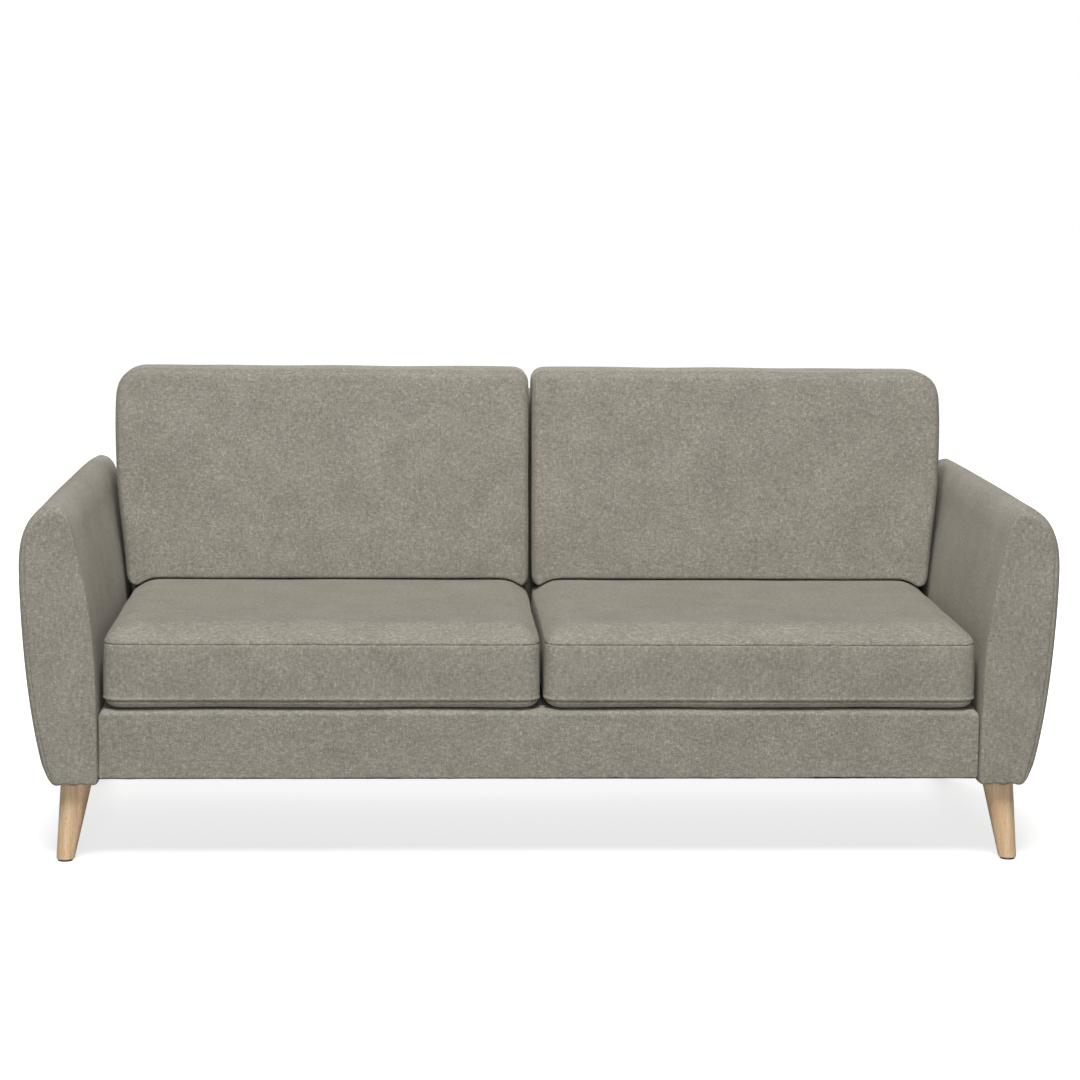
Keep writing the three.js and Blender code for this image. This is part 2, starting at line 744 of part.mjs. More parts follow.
place("front_rail_cover", railWrap(0, CLOTH, BASE_HALF), FABRIC);
place("front_rail_foam", railWrap(BELOW_CLOTH, RAIL_FOAM, BASE_HALF - CLOTH), FOAM);
place("front_seat_rail", frontSeatRail(), FRAME_TIMBER);
placePair("seat_side_rail", seatSideRail(), FRAME_TIMBER);
place("back_seat_rail", backSeatRail(), FRAME_TIMBER);
place("centre_seat_rail", centreSeatRail(), FRAME_TIMBER);
placePair("seat_springs", seatSprings(), SPRING_STEEL);
place("seat_deck", seatDeck(), FELT);
place("dust_cover", dustCover(), BLACK_CLOTH);

place("back_cover", backCover(), FABRIC);
place("back_foam", backFoam(), FOAM);
buildBackFrame();
buildCushions();

export default sofa;
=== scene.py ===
# An upholstered sofa on four splayed oak legs, with two loose seat cushions and two loose back
# cushions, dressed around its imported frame. Metres: +X right, +Y to the back, +Z up.
import json
import math

import bmesh
import bpy
import numpy as np
from mathutils import Matrix, Vector
from mathutils.bvhtree import BVHTree


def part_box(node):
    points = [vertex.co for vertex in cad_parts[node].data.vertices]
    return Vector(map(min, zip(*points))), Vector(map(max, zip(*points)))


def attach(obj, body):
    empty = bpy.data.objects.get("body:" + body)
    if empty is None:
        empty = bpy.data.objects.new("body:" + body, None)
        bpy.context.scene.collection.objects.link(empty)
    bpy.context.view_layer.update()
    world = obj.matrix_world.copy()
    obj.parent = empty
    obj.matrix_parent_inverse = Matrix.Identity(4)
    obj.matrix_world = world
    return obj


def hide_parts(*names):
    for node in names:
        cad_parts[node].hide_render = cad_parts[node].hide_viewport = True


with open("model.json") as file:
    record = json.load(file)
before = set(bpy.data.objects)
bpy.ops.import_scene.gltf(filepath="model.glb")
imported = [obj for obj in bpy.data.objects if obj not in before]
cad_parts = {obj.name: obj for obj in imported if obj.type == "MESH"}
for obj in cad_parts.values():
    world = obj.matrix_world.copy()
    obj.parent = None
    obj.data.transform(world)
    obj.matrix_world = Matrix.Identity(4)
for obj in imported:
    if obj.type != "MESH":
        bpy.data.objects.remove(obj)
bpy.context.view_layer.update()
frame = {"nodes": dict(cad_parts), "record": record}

MM = 0.001

# ---- what the frame says ----

ARM_LOW, ARM_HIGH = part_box("right_arm_cover")
RAIL_LOW, RAIL_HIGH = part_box("front_rail_cover")
BACK_LOW, BACK_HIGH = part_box("back_cover")
SEAT_LOW, SEAT_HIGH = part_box("right_seat_cushion_cover")
PILLOW_LOW, PILLOW_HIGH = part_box("right_back_cushion_cover")

# The rear of the sofa leans back as it rises, and the face behind the back cushions leans more.
REAR_LEAN = 0.096
FACE_LEAN = math.tan(math.radians(11))
# The back's top edges are rounded by this much.
BACK_TOP_EDGE = 26 * MM


def rear_y(height):
    """Where the rear face of the back and the arms lies at a height."""
    return BACK_HIGH.y + REAR_LEAN * (height - BACK_HIGH.z + BACK_TOP_EDGE)


def back_face_y(height):
    """Where the face behind the back cushions lies at a height."""
    return BACK_LOW.y + FACE_LEAN * (height - BACK_LOW.z)


# ---- camera and light ----

# A long lens, a little to the left of the middle and above the back, looking down.
CAMERA_PLACE = (-0.251, -5.616, 1.350)
CAMERA_DEGREES = {"yaw": 2.69, "pitch": 8.01, "roll": 0.549}
LENS_MM = 93.6
SENSOR_MM = 36

# The soft boxes: where each hangs, what it is aimed at, and its power in watts.
SOFT_BOX_SIZE = 3.0
SOFT_BOXES = {
    "key": ((-0.4, -4.1, 7.5), (0, 0, 0.4), 770),
    "fill": ((-0.3, -7.0, 1.8), (0, 0, 0.4), 112),
    "rear": ((0.3, 6.0, 2.6), (0, 0.4, 0.4), 260),
}
# The share of its brightness with which the white backdrop lights the sofa.
AMBIENT = 0.03


def new_object(name, data):
    made = bpy.data.objects.new(name, data)
    bpy.context.scene.collection.objects.link(made)
    return made


def set_camera():
    yaw, pitch, roll = (math.radians(angle) for angle in CAMERA_DEGREES.values())
    ahead = Vector((math.sin(yaw) * math.cos(pitch), math.cos(yaw) * math.cos(pitch), -math.sin(pitch)))
    level = Vector((math.cos(yaw), -math.sin(yaw), 0))
    upright = level.cross(ahead)
    right = level * math.cos(roll) + upright * math.sin(roll)
    up = upright * math.cos(roll) - level * math.sin(roll)
    data = bpy.data.cameras.new("camera")
    data.lens = LENS_MM
    data.sensor_width = SENSOR_MM
    camera = new_object("camera", data)
    turn = Matrix((right, up, -ahead)).transposed().to_4x4()
    camera.matrix_world = Matrix.Translation(CAMERA_PLACE) @ turn
    bpy.context.scene.camera = camera


def soft_box(name, place, target, power):
    """A studio soft box: a large square light aimed at a point, out of the camera's sight."""
    data = bpy.data.lights.new(name, "AREA")
    data.size = SOFT_BOX_SIZE
    data.energy = power
    lamp = new_object(name, data)
    lamp.location = place
    aim = Vector(target) - Vector(place)
    lamp.rotation_euler = aim.to_track_quat("-Z", "Y").to_euler()
    lamp.visible_camera = False


def set_light():
    scene = bpy.context.scene
    scene.view_settings.view_transform = "Standard"
    world = bpy.data.worlds.new("studio")
    world.use_nodes = True
    tree = world.node_tree
    surround = tree.nodes["Background"]
    surround.inputs["Color"].default_value = (1, 1, 1, 1)
    # The backdrop is seen as white, but lights the sofa less than that.
    seen = add(tree, "ShaderNodeLightPath").outputs["Is Camera Ray"]
    inputs = {"Value": seen, "To Min": AMBIENT, "To Max": 1.0}
    strength = add(tree, "ShaderNodeMapRange", inputs)
    tree.links.new(strength.outputs["Result"], surround.inputs["Strength"])
    scene.world = world
    for name, (place, target, power) in SOFT_BOXES.items():
        soft_box(name, place, target, power)


# ---- materials ----


def linear(code):
    """Linear colour of an sRGB hex code such as #938d84."""
    parts = [int(code[at : at + 2], 16) / 255 for at in (1, 3, 5)]
    light = [p / 12.92 if p <= 0.04045 else ((p + 0.055) / 1.055) ** 2.4 for p in parts]
    return (*light, 1.0)


def add(tree, kind, inputs=None, **settings):
    """Adds a node: settings by name, and a value or a link for each of its inputs."""
    made = tree.nodes.new(kind)
    for name, value in settings.items():
        setattr(made, name, value)
    for name, value in (inputs or {}).items():
        if isinstance(value, bpy.types.NodeSocket):
            tree.links.new(value, made.inputs[name])
        else:
            made.inputs[name].default_value = value
    return made


def blank(name, **finish):
    """A new material: its node tree, its shader and the places on the bare object."""
    material = bpy.data.materials.new(name)
    material.use_nodes = True
    tree = material.node_tree
    shader = tree.nodes["Principled BSDF"]
    for socket, value in finish.items():
        shader.inputs[socket.replace("_", " ")].default_value = value
    return material, tree, shader, add(tree, "ShaderNodeTexCoord").outputs["Object"]


def stretched(tree, place, sizes):
    """Coordinates in which a pattern comes out as long on X, Y and Z as these sizes."""
    scale = [1 / size for size in sizes]
    node = add(tree, "ShaderNodeVectorMath", {0: place, 1: scale}, operation="MULTIPLY")
    return node.outputs[0]


def noise(tree, place, sizes, detail=2.0):
    """Smooth noise between 0 and 1, in patches of these sizes."""
    where = stretched(tree, place, sizes)
    inputs = {"Vector": where, "Scale": 1.0, "Detail": detail}
    return add(tree, "ShaderNodeTexNoise", inputs).outputs["Fac"]


def maths(tree, operation, *values):
    made = add(tree, "ShaderNodeMath", dict(enumerate(values)), operation=operation)
    return made.outputs[0]


def average(tree, first, second):
    return maths(tree, "MULTIPLY", maths(tree, "ADD", first, second), 0.5)


def along_axes(tree, vector):
    """The X, Y and Z parts of a vector."""
    return add(tree, "ShaderNodeSeparateXYZ", {"Vector": vector}).outputs


def ramp(tree, factor, *stops):
    """A colour that runs through (place, hex code) stops as the factor rises."""
    made = add(tree, "ShaderNodeValToRGB", {"Fac": factor})
    elements = made.color_ramp.elements
    while len(elements) < len(stops):
        elements.new(0.5)
    for element, (place, code) in zip(elements, stops):
        element.position = place
        element.color = linear(code)
    return made.outputs["Color"]


def darkened(tree, factor, colour, by):
    """A colour multiplied by another one, as far as the factor says."""
    # Of the mix node's sockets, 0 is the factor, 6 and 7 are the colours and 2 is the result.
    inputs = {0: factor, 6: colour, 7: by}
    made = add(tree, "ShaderNodeMix", inputs, data_type="RGBA", blend_type="MULTIPLY")
    return made.outputs[2]


def finish_surface(tree, shader, colour, height=None, depth=0.0, strength=1.0):
    """Links a colour to the shader, and a bump of this depth in metres."""
    tree.links.new(colour, shader.inputs["Base Color"])
    if height is not None:
        inputs = {"Height": height, "Distance": depth, "Strength": strength}
        bump = add(tree, "ShaderNodeBump", inputs)
        tree.links.new(bump.outputs["Normal"], shader.inputs["Normal"])


def weave_height(tree, place, pitch):
    """Height of a plain weave, laid flat on whichever way the surface faces."""
    place = along_axes(tree, place)
    facing = along_axes(tree, add(tree, "ShaderNodeTexCoord").outputs["Normal"])
    waves = []
    shares = []
    for axis in range(3):
        turns = maths(tree, "MULTIPLY", place[axis], math.pi / pitch)
        waves.append(maths(tree, "SINE", turns))
        shares.append(maths(tree, "MULTIPLY", facing[axis], facing[axis]))
    total = None
    for axis in range(3):
        crossing = maths(tree, "MULTIPLY", waves[axis - 1], waves[axis - 2])
        part = maths(tree, "MULTIPLY", crossing, shares[axis])
        total = part if total is None else maths(tree, "ADD", total, part)
    return total


def woven_melange():
    """Upholstery woven from yarn spun of light and dark fibre: short flecks along both threads,
    a soft nap that lifts the edges, no shine. The threads are 1.3 mm apart in the real cloth and
    are drawn at 2.6 mm, and the flecks at 4 by 9 mm, so that both still show at a distance."""
    material, tree, shader, place = blank(
        "woven_melange_upholstery",
        Roughness=0.95,
        Specular_IOR_Level=0.2,
        Sheen_Weight=0.25,
        Sheen_Roughness=0.6,
    )
    shader.inputs["Sheen Tint"].default_value = linear("#cfc8bc")
    upright = noise(tree, place, (3.4 * MM, 3.4 * MM, 8 * MM))
    across = noise(tree, place, (8 * MM, 5 * MM, 3.4 * MM))
    both = average(tree, upright, across)
    fibre = ramp(tree, both, (0.34, "#7a766c"), (0.46, "#8a857b"), (0.54, "#918c82"), (0.66, "#a5a095"))
    cloudy = ramp(
        tree,
        noise(tree, place, (70 * MM, 70 * MM, 70 * MM)),
        (0.3, "#e4e4e2"),
        (0.7, "#ffffff"),
    )
    colour = darkened(tree, 0.6, fibre, cloudy)
    woven = weave_height(tree, place, 2.6 * MM)
    height = maths(tree, "ADD", woven, maths(tree, "MULTIPLY", both, 2.2))
    finish_surface(tree, shader, colour, height, 0.45 * MM, 0.5)
    return material


def lacquered_oak():
    """Turned oak under a matt clear lacquer: pale, with fine grain along the leg and short
    darker pores, and a faint smooth reflection."""
    material, tree, shader, place = blank(
        "lacquered_oak",
        Roughness=0.42,
        IOR=1.5,
        Coat_Weight=0.18,
        Coat_Roughness=0.35,
    )
    bands = noise(tree, place, (9 * MM, 9 * MM, 210 * MM), 3.0)
    grain = noise(tree, place, (1.6 * MM, 1.6 * MM, 60 * MM), 3.0)
    pores = noise(tree, place, (0.9 * MM, 0.9 * MM, 9 * MM), 1.0)
    wood = ramp(tree, bands, (0.3, "#d8b58f"), (0.5, "#e3c6a3"), (0.7, "#edd6b8"))
    streaks = ramp(tree, grain, (0.35, "#c79a6c"), (0.6, "#f4e2c6"))
    dots = ramp(tree, pores, (0.3, "#a87c52"), (0.38, "#ffffff"))
    colour = darkened(tree, 0.3, wood, streaks)
    colour = darkened(tree, 0.45, colour, dots)
    finish_surface(tree, shader, colour, grain, 0.12 * MM, 0.5)
    return material


def planed_spruce():
    """Planed spruce of the hidden frame: bare and pale, with wide soft growth bands."""
    material, tree, shader, place = blank("planed_spruce", Roughness=0.72, IOR=1.5)
    bands = noise(tree, place, (160 * MM, 14 * MM, 14 * MM), 2.0)
    fine = noise(tree, place, (40 * MM, 2 * MM, 2 * MM), 2.0)
    wood = ramp(tree, bands, (0.35, "#c39a63"), (0.55, "#dcb983"), (0.7, "#e6cb9b"))
    streaks = ramp(tree, fine, (0.35, "#c9a26c"), (0.6, "#ffffff"))
    colour = darkened(tree, 0.35, wood, streaks)
    finish_surface(tree, shader, colour, fine, 0.2 * MM, 0.6)
    return material


def sawn_plywood():
    """Sawn birch plywood: its edge shows thin alternate layers, 1.5 mm each."""
    material, tree, shader, place = blank("sawn_plywood", Roughness=0.78, IOR=1.5)
    depth = along_axes(tree, place)["Y"]
    layers = maths(tree, "SINE", maths(tree, "MULTIPLY", depth, math.pi / (1.5 * MM)))
    rough = noise(tree, place, (3 * MM, 1 * MM, 24 * MM), 3.0)
    level = maths(tree, "ADD", maths(tree, "MULTIPLY", layers, 0.22), rough)
    colour = ramp(tree, level, (0.2, "#a37a4c"), (0.5, "#c7a273"), (0.8, "#dec197"))
    finish_surface(tree, shader, colour, rough, 0.4 * MM, 0.6)
    return material


def cut_foam():
    """Cut polyurethane foam: cream, matt, pitted with open cells about 1 mm wide, drawn at
    2 mm."""
    material, tree, shader, place = blank(
        "cut_polyurethane_foam", Roughness=0.97, Specular_IOR_Level=0.15
    )
    where = stretched(tree, place, (2 * MM, 2 * MM, 2 * MM))
    cells = add(tree, "ShaderNodeTexVoronoi", {"Vector": where, "Scale": 1.0})
    open_cells = cells.outputs["Distance"]
    tone = noise(tree, place, (50 * MM, 50 * MM, 50 * MM))
    cream = ramp(tree, tone, (0.3, "#e4dab8"), (0.7, "#f1ead0"))
    # The cream is painted darker in the middle of each open cell: painted shade in the pits.
    pit_shade = ramp(tree, open_cells, (0.1, "#d2c69f"), (0.5, "#ffffff"))
    colour = darkened(tree, 0.7, cream, pit_shade)
    finish_surface(tree, shader, colour, open_cells, 0.6 * MM, 0.8)
    return material


def needled_felt():
    """Needled felt under the seat cushions: matted short fibres in charcoal and grey."""
    material, tree, shader, place = blank(
        "needled_felt", Roughness=1.0, Specular_IOR_Level=0.1, Sheen_Weight=0.3
    )
    along = noise(tree, place, (14 * MM, 2 * MM, 2 * MM), 4.0)
    across = noise(tree, place, (2 * MM, 14 * MM, 2 * MM), 4.0)
    fibres = average(tree, along, across)
    colour = ramp(tree, fibres, (0.35, "#1f1e1d"), (0.5, "#302e2c"), (0.65, "#4a4744"))
    finish_surface(tree, shader, colour, fibres, 1.0 * MM, 0.7)
    return material


def spun_lining():
    """Spun non-woven lining under the frame: black, thin, with bonded dots 4 mm apart."""
    material, tree, shader, place = blank("spun_black_lining", Roughness=0.85, Specular_IOR_Level=0.3)
    where = stretched(tree, place, (4 * MM, 4 * MM, 4 * MM))
    dots = add(
        tree, "ShaderNodeTexVoronoi", {"Vector": where, "Scale": 1.0, "Randomness": 0.0}
    ).outputs["Distance"]
    fibres = noise(tree, place, (9 * MM, 1.5 * MM, 2 * MM), 3.0)
    level = maths(tree, "MULTIPLY", maths(tree, "ADD", dots, fibres), 0.6)
    colour = ramp(tree, level, (0.3, "#161618"), (0.7, "#38383c"))
    finish_surface(tree, shader, colour, dots, 0.3 * MM, 0.6)
    return material


def elastic_webbing():
    """Woven elastic webbing: black, with ribs 3 mm apart along the belt."""
    material, tree, shader, place = blank(
        "woven_elastic_webbing", Roughness=0.8, Specular_IOR_Level=0.3
    )
    ribs = weave_height(tree, place, 3 * MM)
    # The black is painted lighter on the rib crests and darker between them: painted highlight and
    # painted shade.
    colour = ramp(tree, ribs, (0.1, "#222226"), (0.6, "#3d3d42"), (0.9, "#55555b"))
    finish_surface(tree, shader, colour, ribs, 0.5 * MM, 0.8)
    return material


def one_noise(name, sizes, detail, stops, depth, strength, **finish):
    """A finish whose colour and bump both follow one noise pattern."""
    material, tree, shader, place = blank(name, **finish)
    pattern = noise(tree, place, sizes, detail)
    finish_surface(tree, shader, ramp(tree, pattern, *stops), pattern, depth, strength)
    return material


def zip_nylon():
    """Moulded nylon coil and its woven tape: dyed to match the cloth, a little glossier."""
    twill = (1.2 * MM, 3 * MM, 1.2 * MM)
    stops = (0.35, "#4d4a45"), (0.65, "#6e6a63")
    finish = {"Roughness": 0.5, "IOR": 1.53}
    return one_noise("dyed_zip_nylon", twill, 2.0, stops, 0.15 * MM, 0.5, **finish)


def moulded_glide():
    """Moulded polypropylene glide under each foot: dark, with a fine spark-eroded texture."""
    grit = (1 * MM, 1 * MM, 1 * MM)
    stops = (0.35, "#2f2c29"), (0.65, "#45413c")
    return one_noise("moulded_polypropylene", grit, 3.0, stops, 0.08 * MM, 0.6, Roughness=0.55)


def tempered_spring():
    """Oil-tempered spring wire: dark grey-blue steel with drawn streaks and a film of oil."""
    film = (6 * MM, 20 * MM, 6 * MM)
    stops = (0.3, "#4a4d52"), (0.55, "#666a70"), (0.75, "#7c7468")
    finish = {"Metallic": 1.0, "Roughness": 0.38}
    return one_noise("oil_tempered_wire", film, 3.0, stops, 0.05 * MM, 0.4, **finish)


def bright_zinc():
    """Zinc-plated steel: pale with faint blue and yellow clouds from the passivation."""
    clouds = (12 * MM, 12 * MM, 12 * MM)
    stops = (0.3, "#b4bac4"), (0.55, "#cfd1d2"), (0.75, "#d6cfae")
    finish = {"Metallic": 1.0, "Roughness": 0.3}
    return one_noise("zinc_plated_steel", clouds, 4.0, stops, 0.04 * MM, 0.4, **finish)


def painted_floor():
    """Matt pale studio floor with a faint unevenness, which runs into the white backdrop. The
    camera sees it paler than its paint, so that little of its light comes back to the sofa."""
    material, tree, shader, place = blank("painted_studio_floor", Roughness=0.9)
    tone = noise(tree, place, (0.8, 0.8, 0.8))
    colour = ramp(tree, tone, (0.3, "#b1b1af"), (0.7, "#b7b7b5"))
    finish_surface(tree, shader, colour)
    away = add(tree, "ShaderNodeVectorMath", {0: place}, operation="LENGTH")
    inputs = {"Value": away.outputs["Value"], "From Min": 0.9, "From Max": 2.6, "To Min": 0.75}
    glow = add(tree, "ShaderNodeMapRange", inputs)
    seen = add(tree, "ShaderNodeLightPath").outputs["Is Camera Ray"]
    shader.inputs["Emission Color"].default_value = (1, 1, 1, 1)
    shown = maths(tree, "MULTIPLY", glow.outputs["Result"], seen)
    tree.links.new(shown, shader.inputs["Emission Strength"])
    return material


# ---- meshes ----


def make_piece(name, points, faces, material):
    mesh = bpy.data.meshes.new(name)
    mesh.from_pydata([tuple(point) for point in points], [], faces)
    mesh.materials.append(material)
    piece = new_object(name, mesh)
    face_outwards(piece)
    return piece


def face_outwards(piece):
    """Cuts the many-sided ends into triangles, and turns every face outwards."""
    form = bmesh.new()
    form.from_mesh(piece.data)
    ends = [face for face in form.faces if len(face.verts) > 4]
    bmesh.ops.triangulate(form, faces=ends)
    bmesh.ops.recalc_face_normals(form, faces=form.faces)
    form.to_mesh(piece.data)
    form.free()
    piece.data.shade_smooth()


def read_points(piece):
    points = np.empty(3 * len(piece.data.vertices))
    piece.data.vertices.foreach_get("co", points)
    return points.reshape(-1, 3)


def write_points(piece, points):
    piece.data.vertices.foreach_set("co", points.ravel())
    piece.data.update()


def read_normals(piece):
    normals = np.empty(3 * len(piece.data.vertices))
    piece.data.vertex_normals.foreach_get("vector", normals)
    return normals.reshape(-1, 3)


def raise_surface(piece, amount):
    """Moves each point along its normal: outwards where amount is positive."""
    write_points(piece, read_points(piece) + read_normals(piece) * amount[:, None])


def ringed_piece(name, rings, material):
    """A closed piece whose surface runs through rings of points, with a face over each end."""
    count = len(rings[0])
    last = (len(rings) - 1) * count
    faces = [tuple(range(count))]
    for low in range(0, last, count):
        for at in range(count):
            after = (at + 1) % count
            high = low + count
            faces.append((low + at, low + after, high + after, high + at))
    faces.append(tuple(range(last, last + count)))
    return make_piece(name, np.vstack(rings), faces, material)


def surface_tree(piece):
    """A piece's surface, ready for rays to be cast at it."""
    return BVHTree.FromPolygons(
        [vertex.co for vertex in piece.data.vertices],
        [tuple(face.vertices) for face in piece.data.polygons],
    )


def apply_modifier(piece, kind, **settings):
    modifier = piece.modifiers.new(kind, kind)
    for name, value in settings.items():
        setattr(modifier, name, value)
    keep_evaluated(piece)


def keep_evaluated(piece):
    """Makes the mesh that the modifiers give the piece's own, and removes them."""
    depsgraph = bpy.context.evaluated_depsgraph_get()
    mesh = bpy.data.meshes.new_from_object(piece.evaluated_get(depsgraph))
    piece.modifiers.clear()
    old = piece.data
    piece.data = mesh
    mesh.name = piece.name
    bpy.data.meshes.remove(old)
    mesh.shade_smooth()


def shell(outside, inside):
    """One piece with a hollow in it: the inside's surface is turned round and joined on."""
    inside.data.flip_normals()
    form = bmesh.new()
    form.from_mesh(outside.data)
    form.from_mesh(inside.data)
    form.to_mesh(outside.data)
    form.free()
    bpy.data.objects.remove(inside)
    outside.data.shade_smooth()
    return outside


def ripples(points, length, seed):
    """Smooth unevenness between about -1 and 1, with swells of roughly this length."""
    random = np.random.default_rng(seed)
    total = np.zeros(len(points))
    waves = 7
    for _ in range(waves):
        way = random.normal(size=3)
        way *= 2 * math.pi / length / np.linalg.norm(way) * random.uniform(0.6, 1.3)
        total += np.sin(points @ way + random.uniform(0, 2 * math.pi))
    return total / math.sqrt(waves)


def rise(value, start, end):
    """0 below start, 1 above end, with a smooth step between them."""
    share = np.clip((value - start) / (end - start), 0, 1)
    return share * share * (3 - 2 * share)


# ---- outlines ----


def curve(*pulls, steps=24):
    """A Bezier curve through its first and last points, short of its last one."""
    share = np.linspace(0, 1, steps, endpoint=False)[:, None]
    last = len(pulls) - 1
    return sum(
        math.comb(last, k) * (1 - share) ** (last - k) * share**k * np.array(pull)
        for k, pull in enumerate(pulls)
    )


def rounded_outline(*corners):
    """A closed outline with its own radius at each corner (x, y, radius)."""
    parts = []
    for index, (x, y, radius) in enumerate(corners):
        corner = np.array((x, y))
        before = np.array(corners[index - 1][:2])
        after = np.array(corners[(index + 1) % len(corners)][:2])
        start = corner + (before - corner) * radius / np.linalg.norm(before - corner)
        end = corner + (after - corner) * radius / np.linalg.norm(after - corner)
        parts.append(curve(start, corner, end))
        parts.append(end[None])
    return np.vstack(parts)


def evenly(path, count):
    """Points spread evenly along a closed path."""
    closed = np.vstack([path, path[:1]])
    steps = np.linalg.norm(np.diff(closed, axis=0), axis=1)
    run = np.concatenate([[0], np.cumsum(steps)])
    at = np.linspace(0, run[-1], count, endpoint=False)
    return np.column_stack([np.interp(at, run, closed[:, k]) for k in (0, 1)])


def outward(outline):
    """Unit vectors that point out of an outline drawn anticlockwise."""
    along = np.roll(outline, -2, axis=0) - np.roll(outline, 2, axis=0)
    along /= np.linalg.norm(along, axis=1)[:, None]
    return np.column_stack([along[:, 1], -along[:, 0]])


# ---- upholstered forms ----

# Shares of the way from the spine out to the edge, for the rings that fill an end, and angles
# of the rings that turn its edge. Both are closest together at the seam between them.
CAP_RINGS = (0.08, 0.3, 0.5, 0.7, 0.82, 0.9, 0.945, 0.97, 0.985, 0.994)
EDGE_ANGLES = np.radians((0, 3, 7, 12, 18, 26, 36, 48, 62, 76))
# About half the width of the groove that the seam draws in there.
SEAM_WIDTH = 1.5 * MM
# Further from a seam than any seam's pull reaches.
FAR = 1.0


def in_mm(*pairs):
    """Pairs of millimetres, in metres."""
    return np.array(pairs) * MM


def upright_at(depth):
    """A face that does not lean: it lies at the same depth at every height."""
    return lambda height: depth + 0 * height


class Form:
    """An outline carried from a front face to a rear face, with both edges turned by an amount
    that depends on which way the outline faces. Each point also knows how far it lies from the
    front and rear seams, along the surface."""

    def __init__(self, outline, front, rear, front_turn, rear_turn, spine, steps):
        self.outline = outline
        self.normals = outward(outline)
        self.spine = spine
        self.points, self.from_front, self.from_rear, self.from_spine = [], [], [], []
        front_in, front_deep = self.turns(front_turn)
        rear_in, rear_deep = self.turns(rear_turn)
        self.add_end(front, front_in, front_deep, 1)
        for share in np.linspace(0, 1, steps + 2)[1:-1]:
            start = front(outline[:, 1]) + front_deep
            end = rear(outline[:, 1]) - rear_deep
            self.add_ring(outline, start * (1 - share) + end * share, FAR, FAR, 1.0)
        self.add_end(rear, rear_in, rear_deep, -1)

    def turns(self, sizes):
        """How far the edge is drawn in, and how deep it turns, for each point. The sizes are
        (in, deep) for the outline's +X, -X, +Z and -Z sides."""
        ways = np.clip(np.column_stack([self.normals, -self.normals]), 0, None) ** 2
        order = ways[:, (0, 2, 1, 3)]
        amounts = order @ np.array(sizes)
        return amounts[:, :1], amounts[:, 1]

    def add_ring(self, flat, depth, from_front, from_rear, from_spine):
        self.points.append(np.column_stack([flat[:, 0], depth, flat[:, 1]]))
        self.from_front.append(np.broadcast_to(from_front, len(flat)))
        self.from_rear.append(np.broadcast_to(from_rear, len(flat)))
        self.from_spine.append(np.broadcast_to(from_spine, len(flat)))

    def add_end(self, face, drawn_in, deep, way):
        """The rings of one end: way is 1 at the front, where they run from the spine outwards,
        and -1 at the rear, where they run back to it."""
        edge = self.outline - self.normals * drawn_in
        middle = self.nearest_on_spine(edge)
        reach = np.linalg.norm(edge - middle, axis=1)
        rings = []
        for share in CAP_RINGS:
            flat = middle + (edge - middle) * share
            rings.append((flat, face(flat[:, 1]), reach * (1 - share), share))
        for angle in EDGE_ANGLES:
            flat = self.outline - self.normals * drawn_in * (1 - math.sin(angle))
            turned = deep * (1 - math.cos(angle))
            depth = face(flat[:, 1]) + way * turned
            distance = np.hypot(drawn_in[:, 0] * math.sin(angle), turned)
            rings.append((flat, depth, distance, 1.0))
        for flat, depth, distance, share in rings[::way]:
            self.add_ring(flat, depth, *(distance, FAR)[::way], share)

    def nearest_on_spine(self, places):
        start, end = (np.array(point) for point in self.spine)
        along = end - start
        share = np.clip((places - start) @ along / (along @ along), 0, 1)
        return start + share[:, None] * along

    def build(self, name, material):
        return ringed_piece(name, self.points, material)

    def facing(self):
        """Which way the outline faces at every point of the form."""
        return np.tile(self.normals, (len(self.points), 1))

    def raise_piece(self, piece, amount):
        """Moves the form's surface out, but keeps the long thin faces of its spine flat."""
        raise_surface(piece, amount * rise(np.concatenate(self.from_spine), 0.08, 0.5))


def groove(distance, width, depth):
    """How far a plain seam pulls the cloth in, at this distance from it."""
    return -depth * np.exp(-((distance / width) ** 2))


def pillowing(distance, width, height):
    """The soft swell beside a seam, which fades out a little way from it."""
    return height * (distance / width) * np.exp(1 - distance / width)


# ---- arms ----

# The arm's inner side and the back's side lean out between these heights, by this much.
FLARE_START = 330 * MM
SHOULDER_HEIGHT = 630 * MM
SHOULDER_OUT = 38 * MM
# The padding starts this far inside the face of its cover.
UNDER_COVER = 3.4 * MM


def flare(low_x, shoulder):
    """The Bezier points of the inner side between those heights, from below."""
    return [
        (low_x, FLARE_START),
        (low_x, 480 * MM),
        (low_x + 31 * MM, 590 * MM),
        (shoulder, SHOULDER_HEIGHT),
    ]


def arm_outline(inset=0.0, count=330):
    """Front outline of the right arm. Its inner side stands upright behind the seat and flares
    out above it, and its outer side widens up to the elbow before it turns over the top."""
    low_x, low_z = ARM_LOW.x + inset, ARM_LOW.z + inset
    out, top = ARM_HIGH.x - inset, ARM_HIGH.z - inset
    crest = ARM_HIGH.x - 62 * MM
    shoulder = ARM_LOW.x + SHOULDER_OUT + inset
    corner = 5 * MM
    belly = (ARM_HIGH.x - 66 * MM, low_z)
    toe = (out - 44 * MM, low_z + 15 * MM)
    elbow = (out, 560 * MM)
    path = [
        curve((low_x, low_z + corner), (low_x, low_z), (low_x + corner, low_z)),
        curve((low_x + corner, low_z), belly),
        curve(belly, (out - 51 * MM, low_z), toe),
        curve(toe, (out - 20 * MM, 226 * MM), (out - 1 * MM, 390 * MM), elbow),
        curve(elbow, (out, 625 * MM), (out - 12 * MM, top - 20 * MM), (crest, top)),
        curve(
            (crest, top),
            (crest - 20 * MM, top),
            (shoulder + 8 * MM, top - 18 * MM),
            (shoulder, SHOULDER_HEIGHT),
        ),
        curve(*reversed(flare(low_x, shoulder))),
        curve((low_x, FLARE_START), (low_x, low_z + corner)),
    ]
    return evenly(np.vstack(path), count)


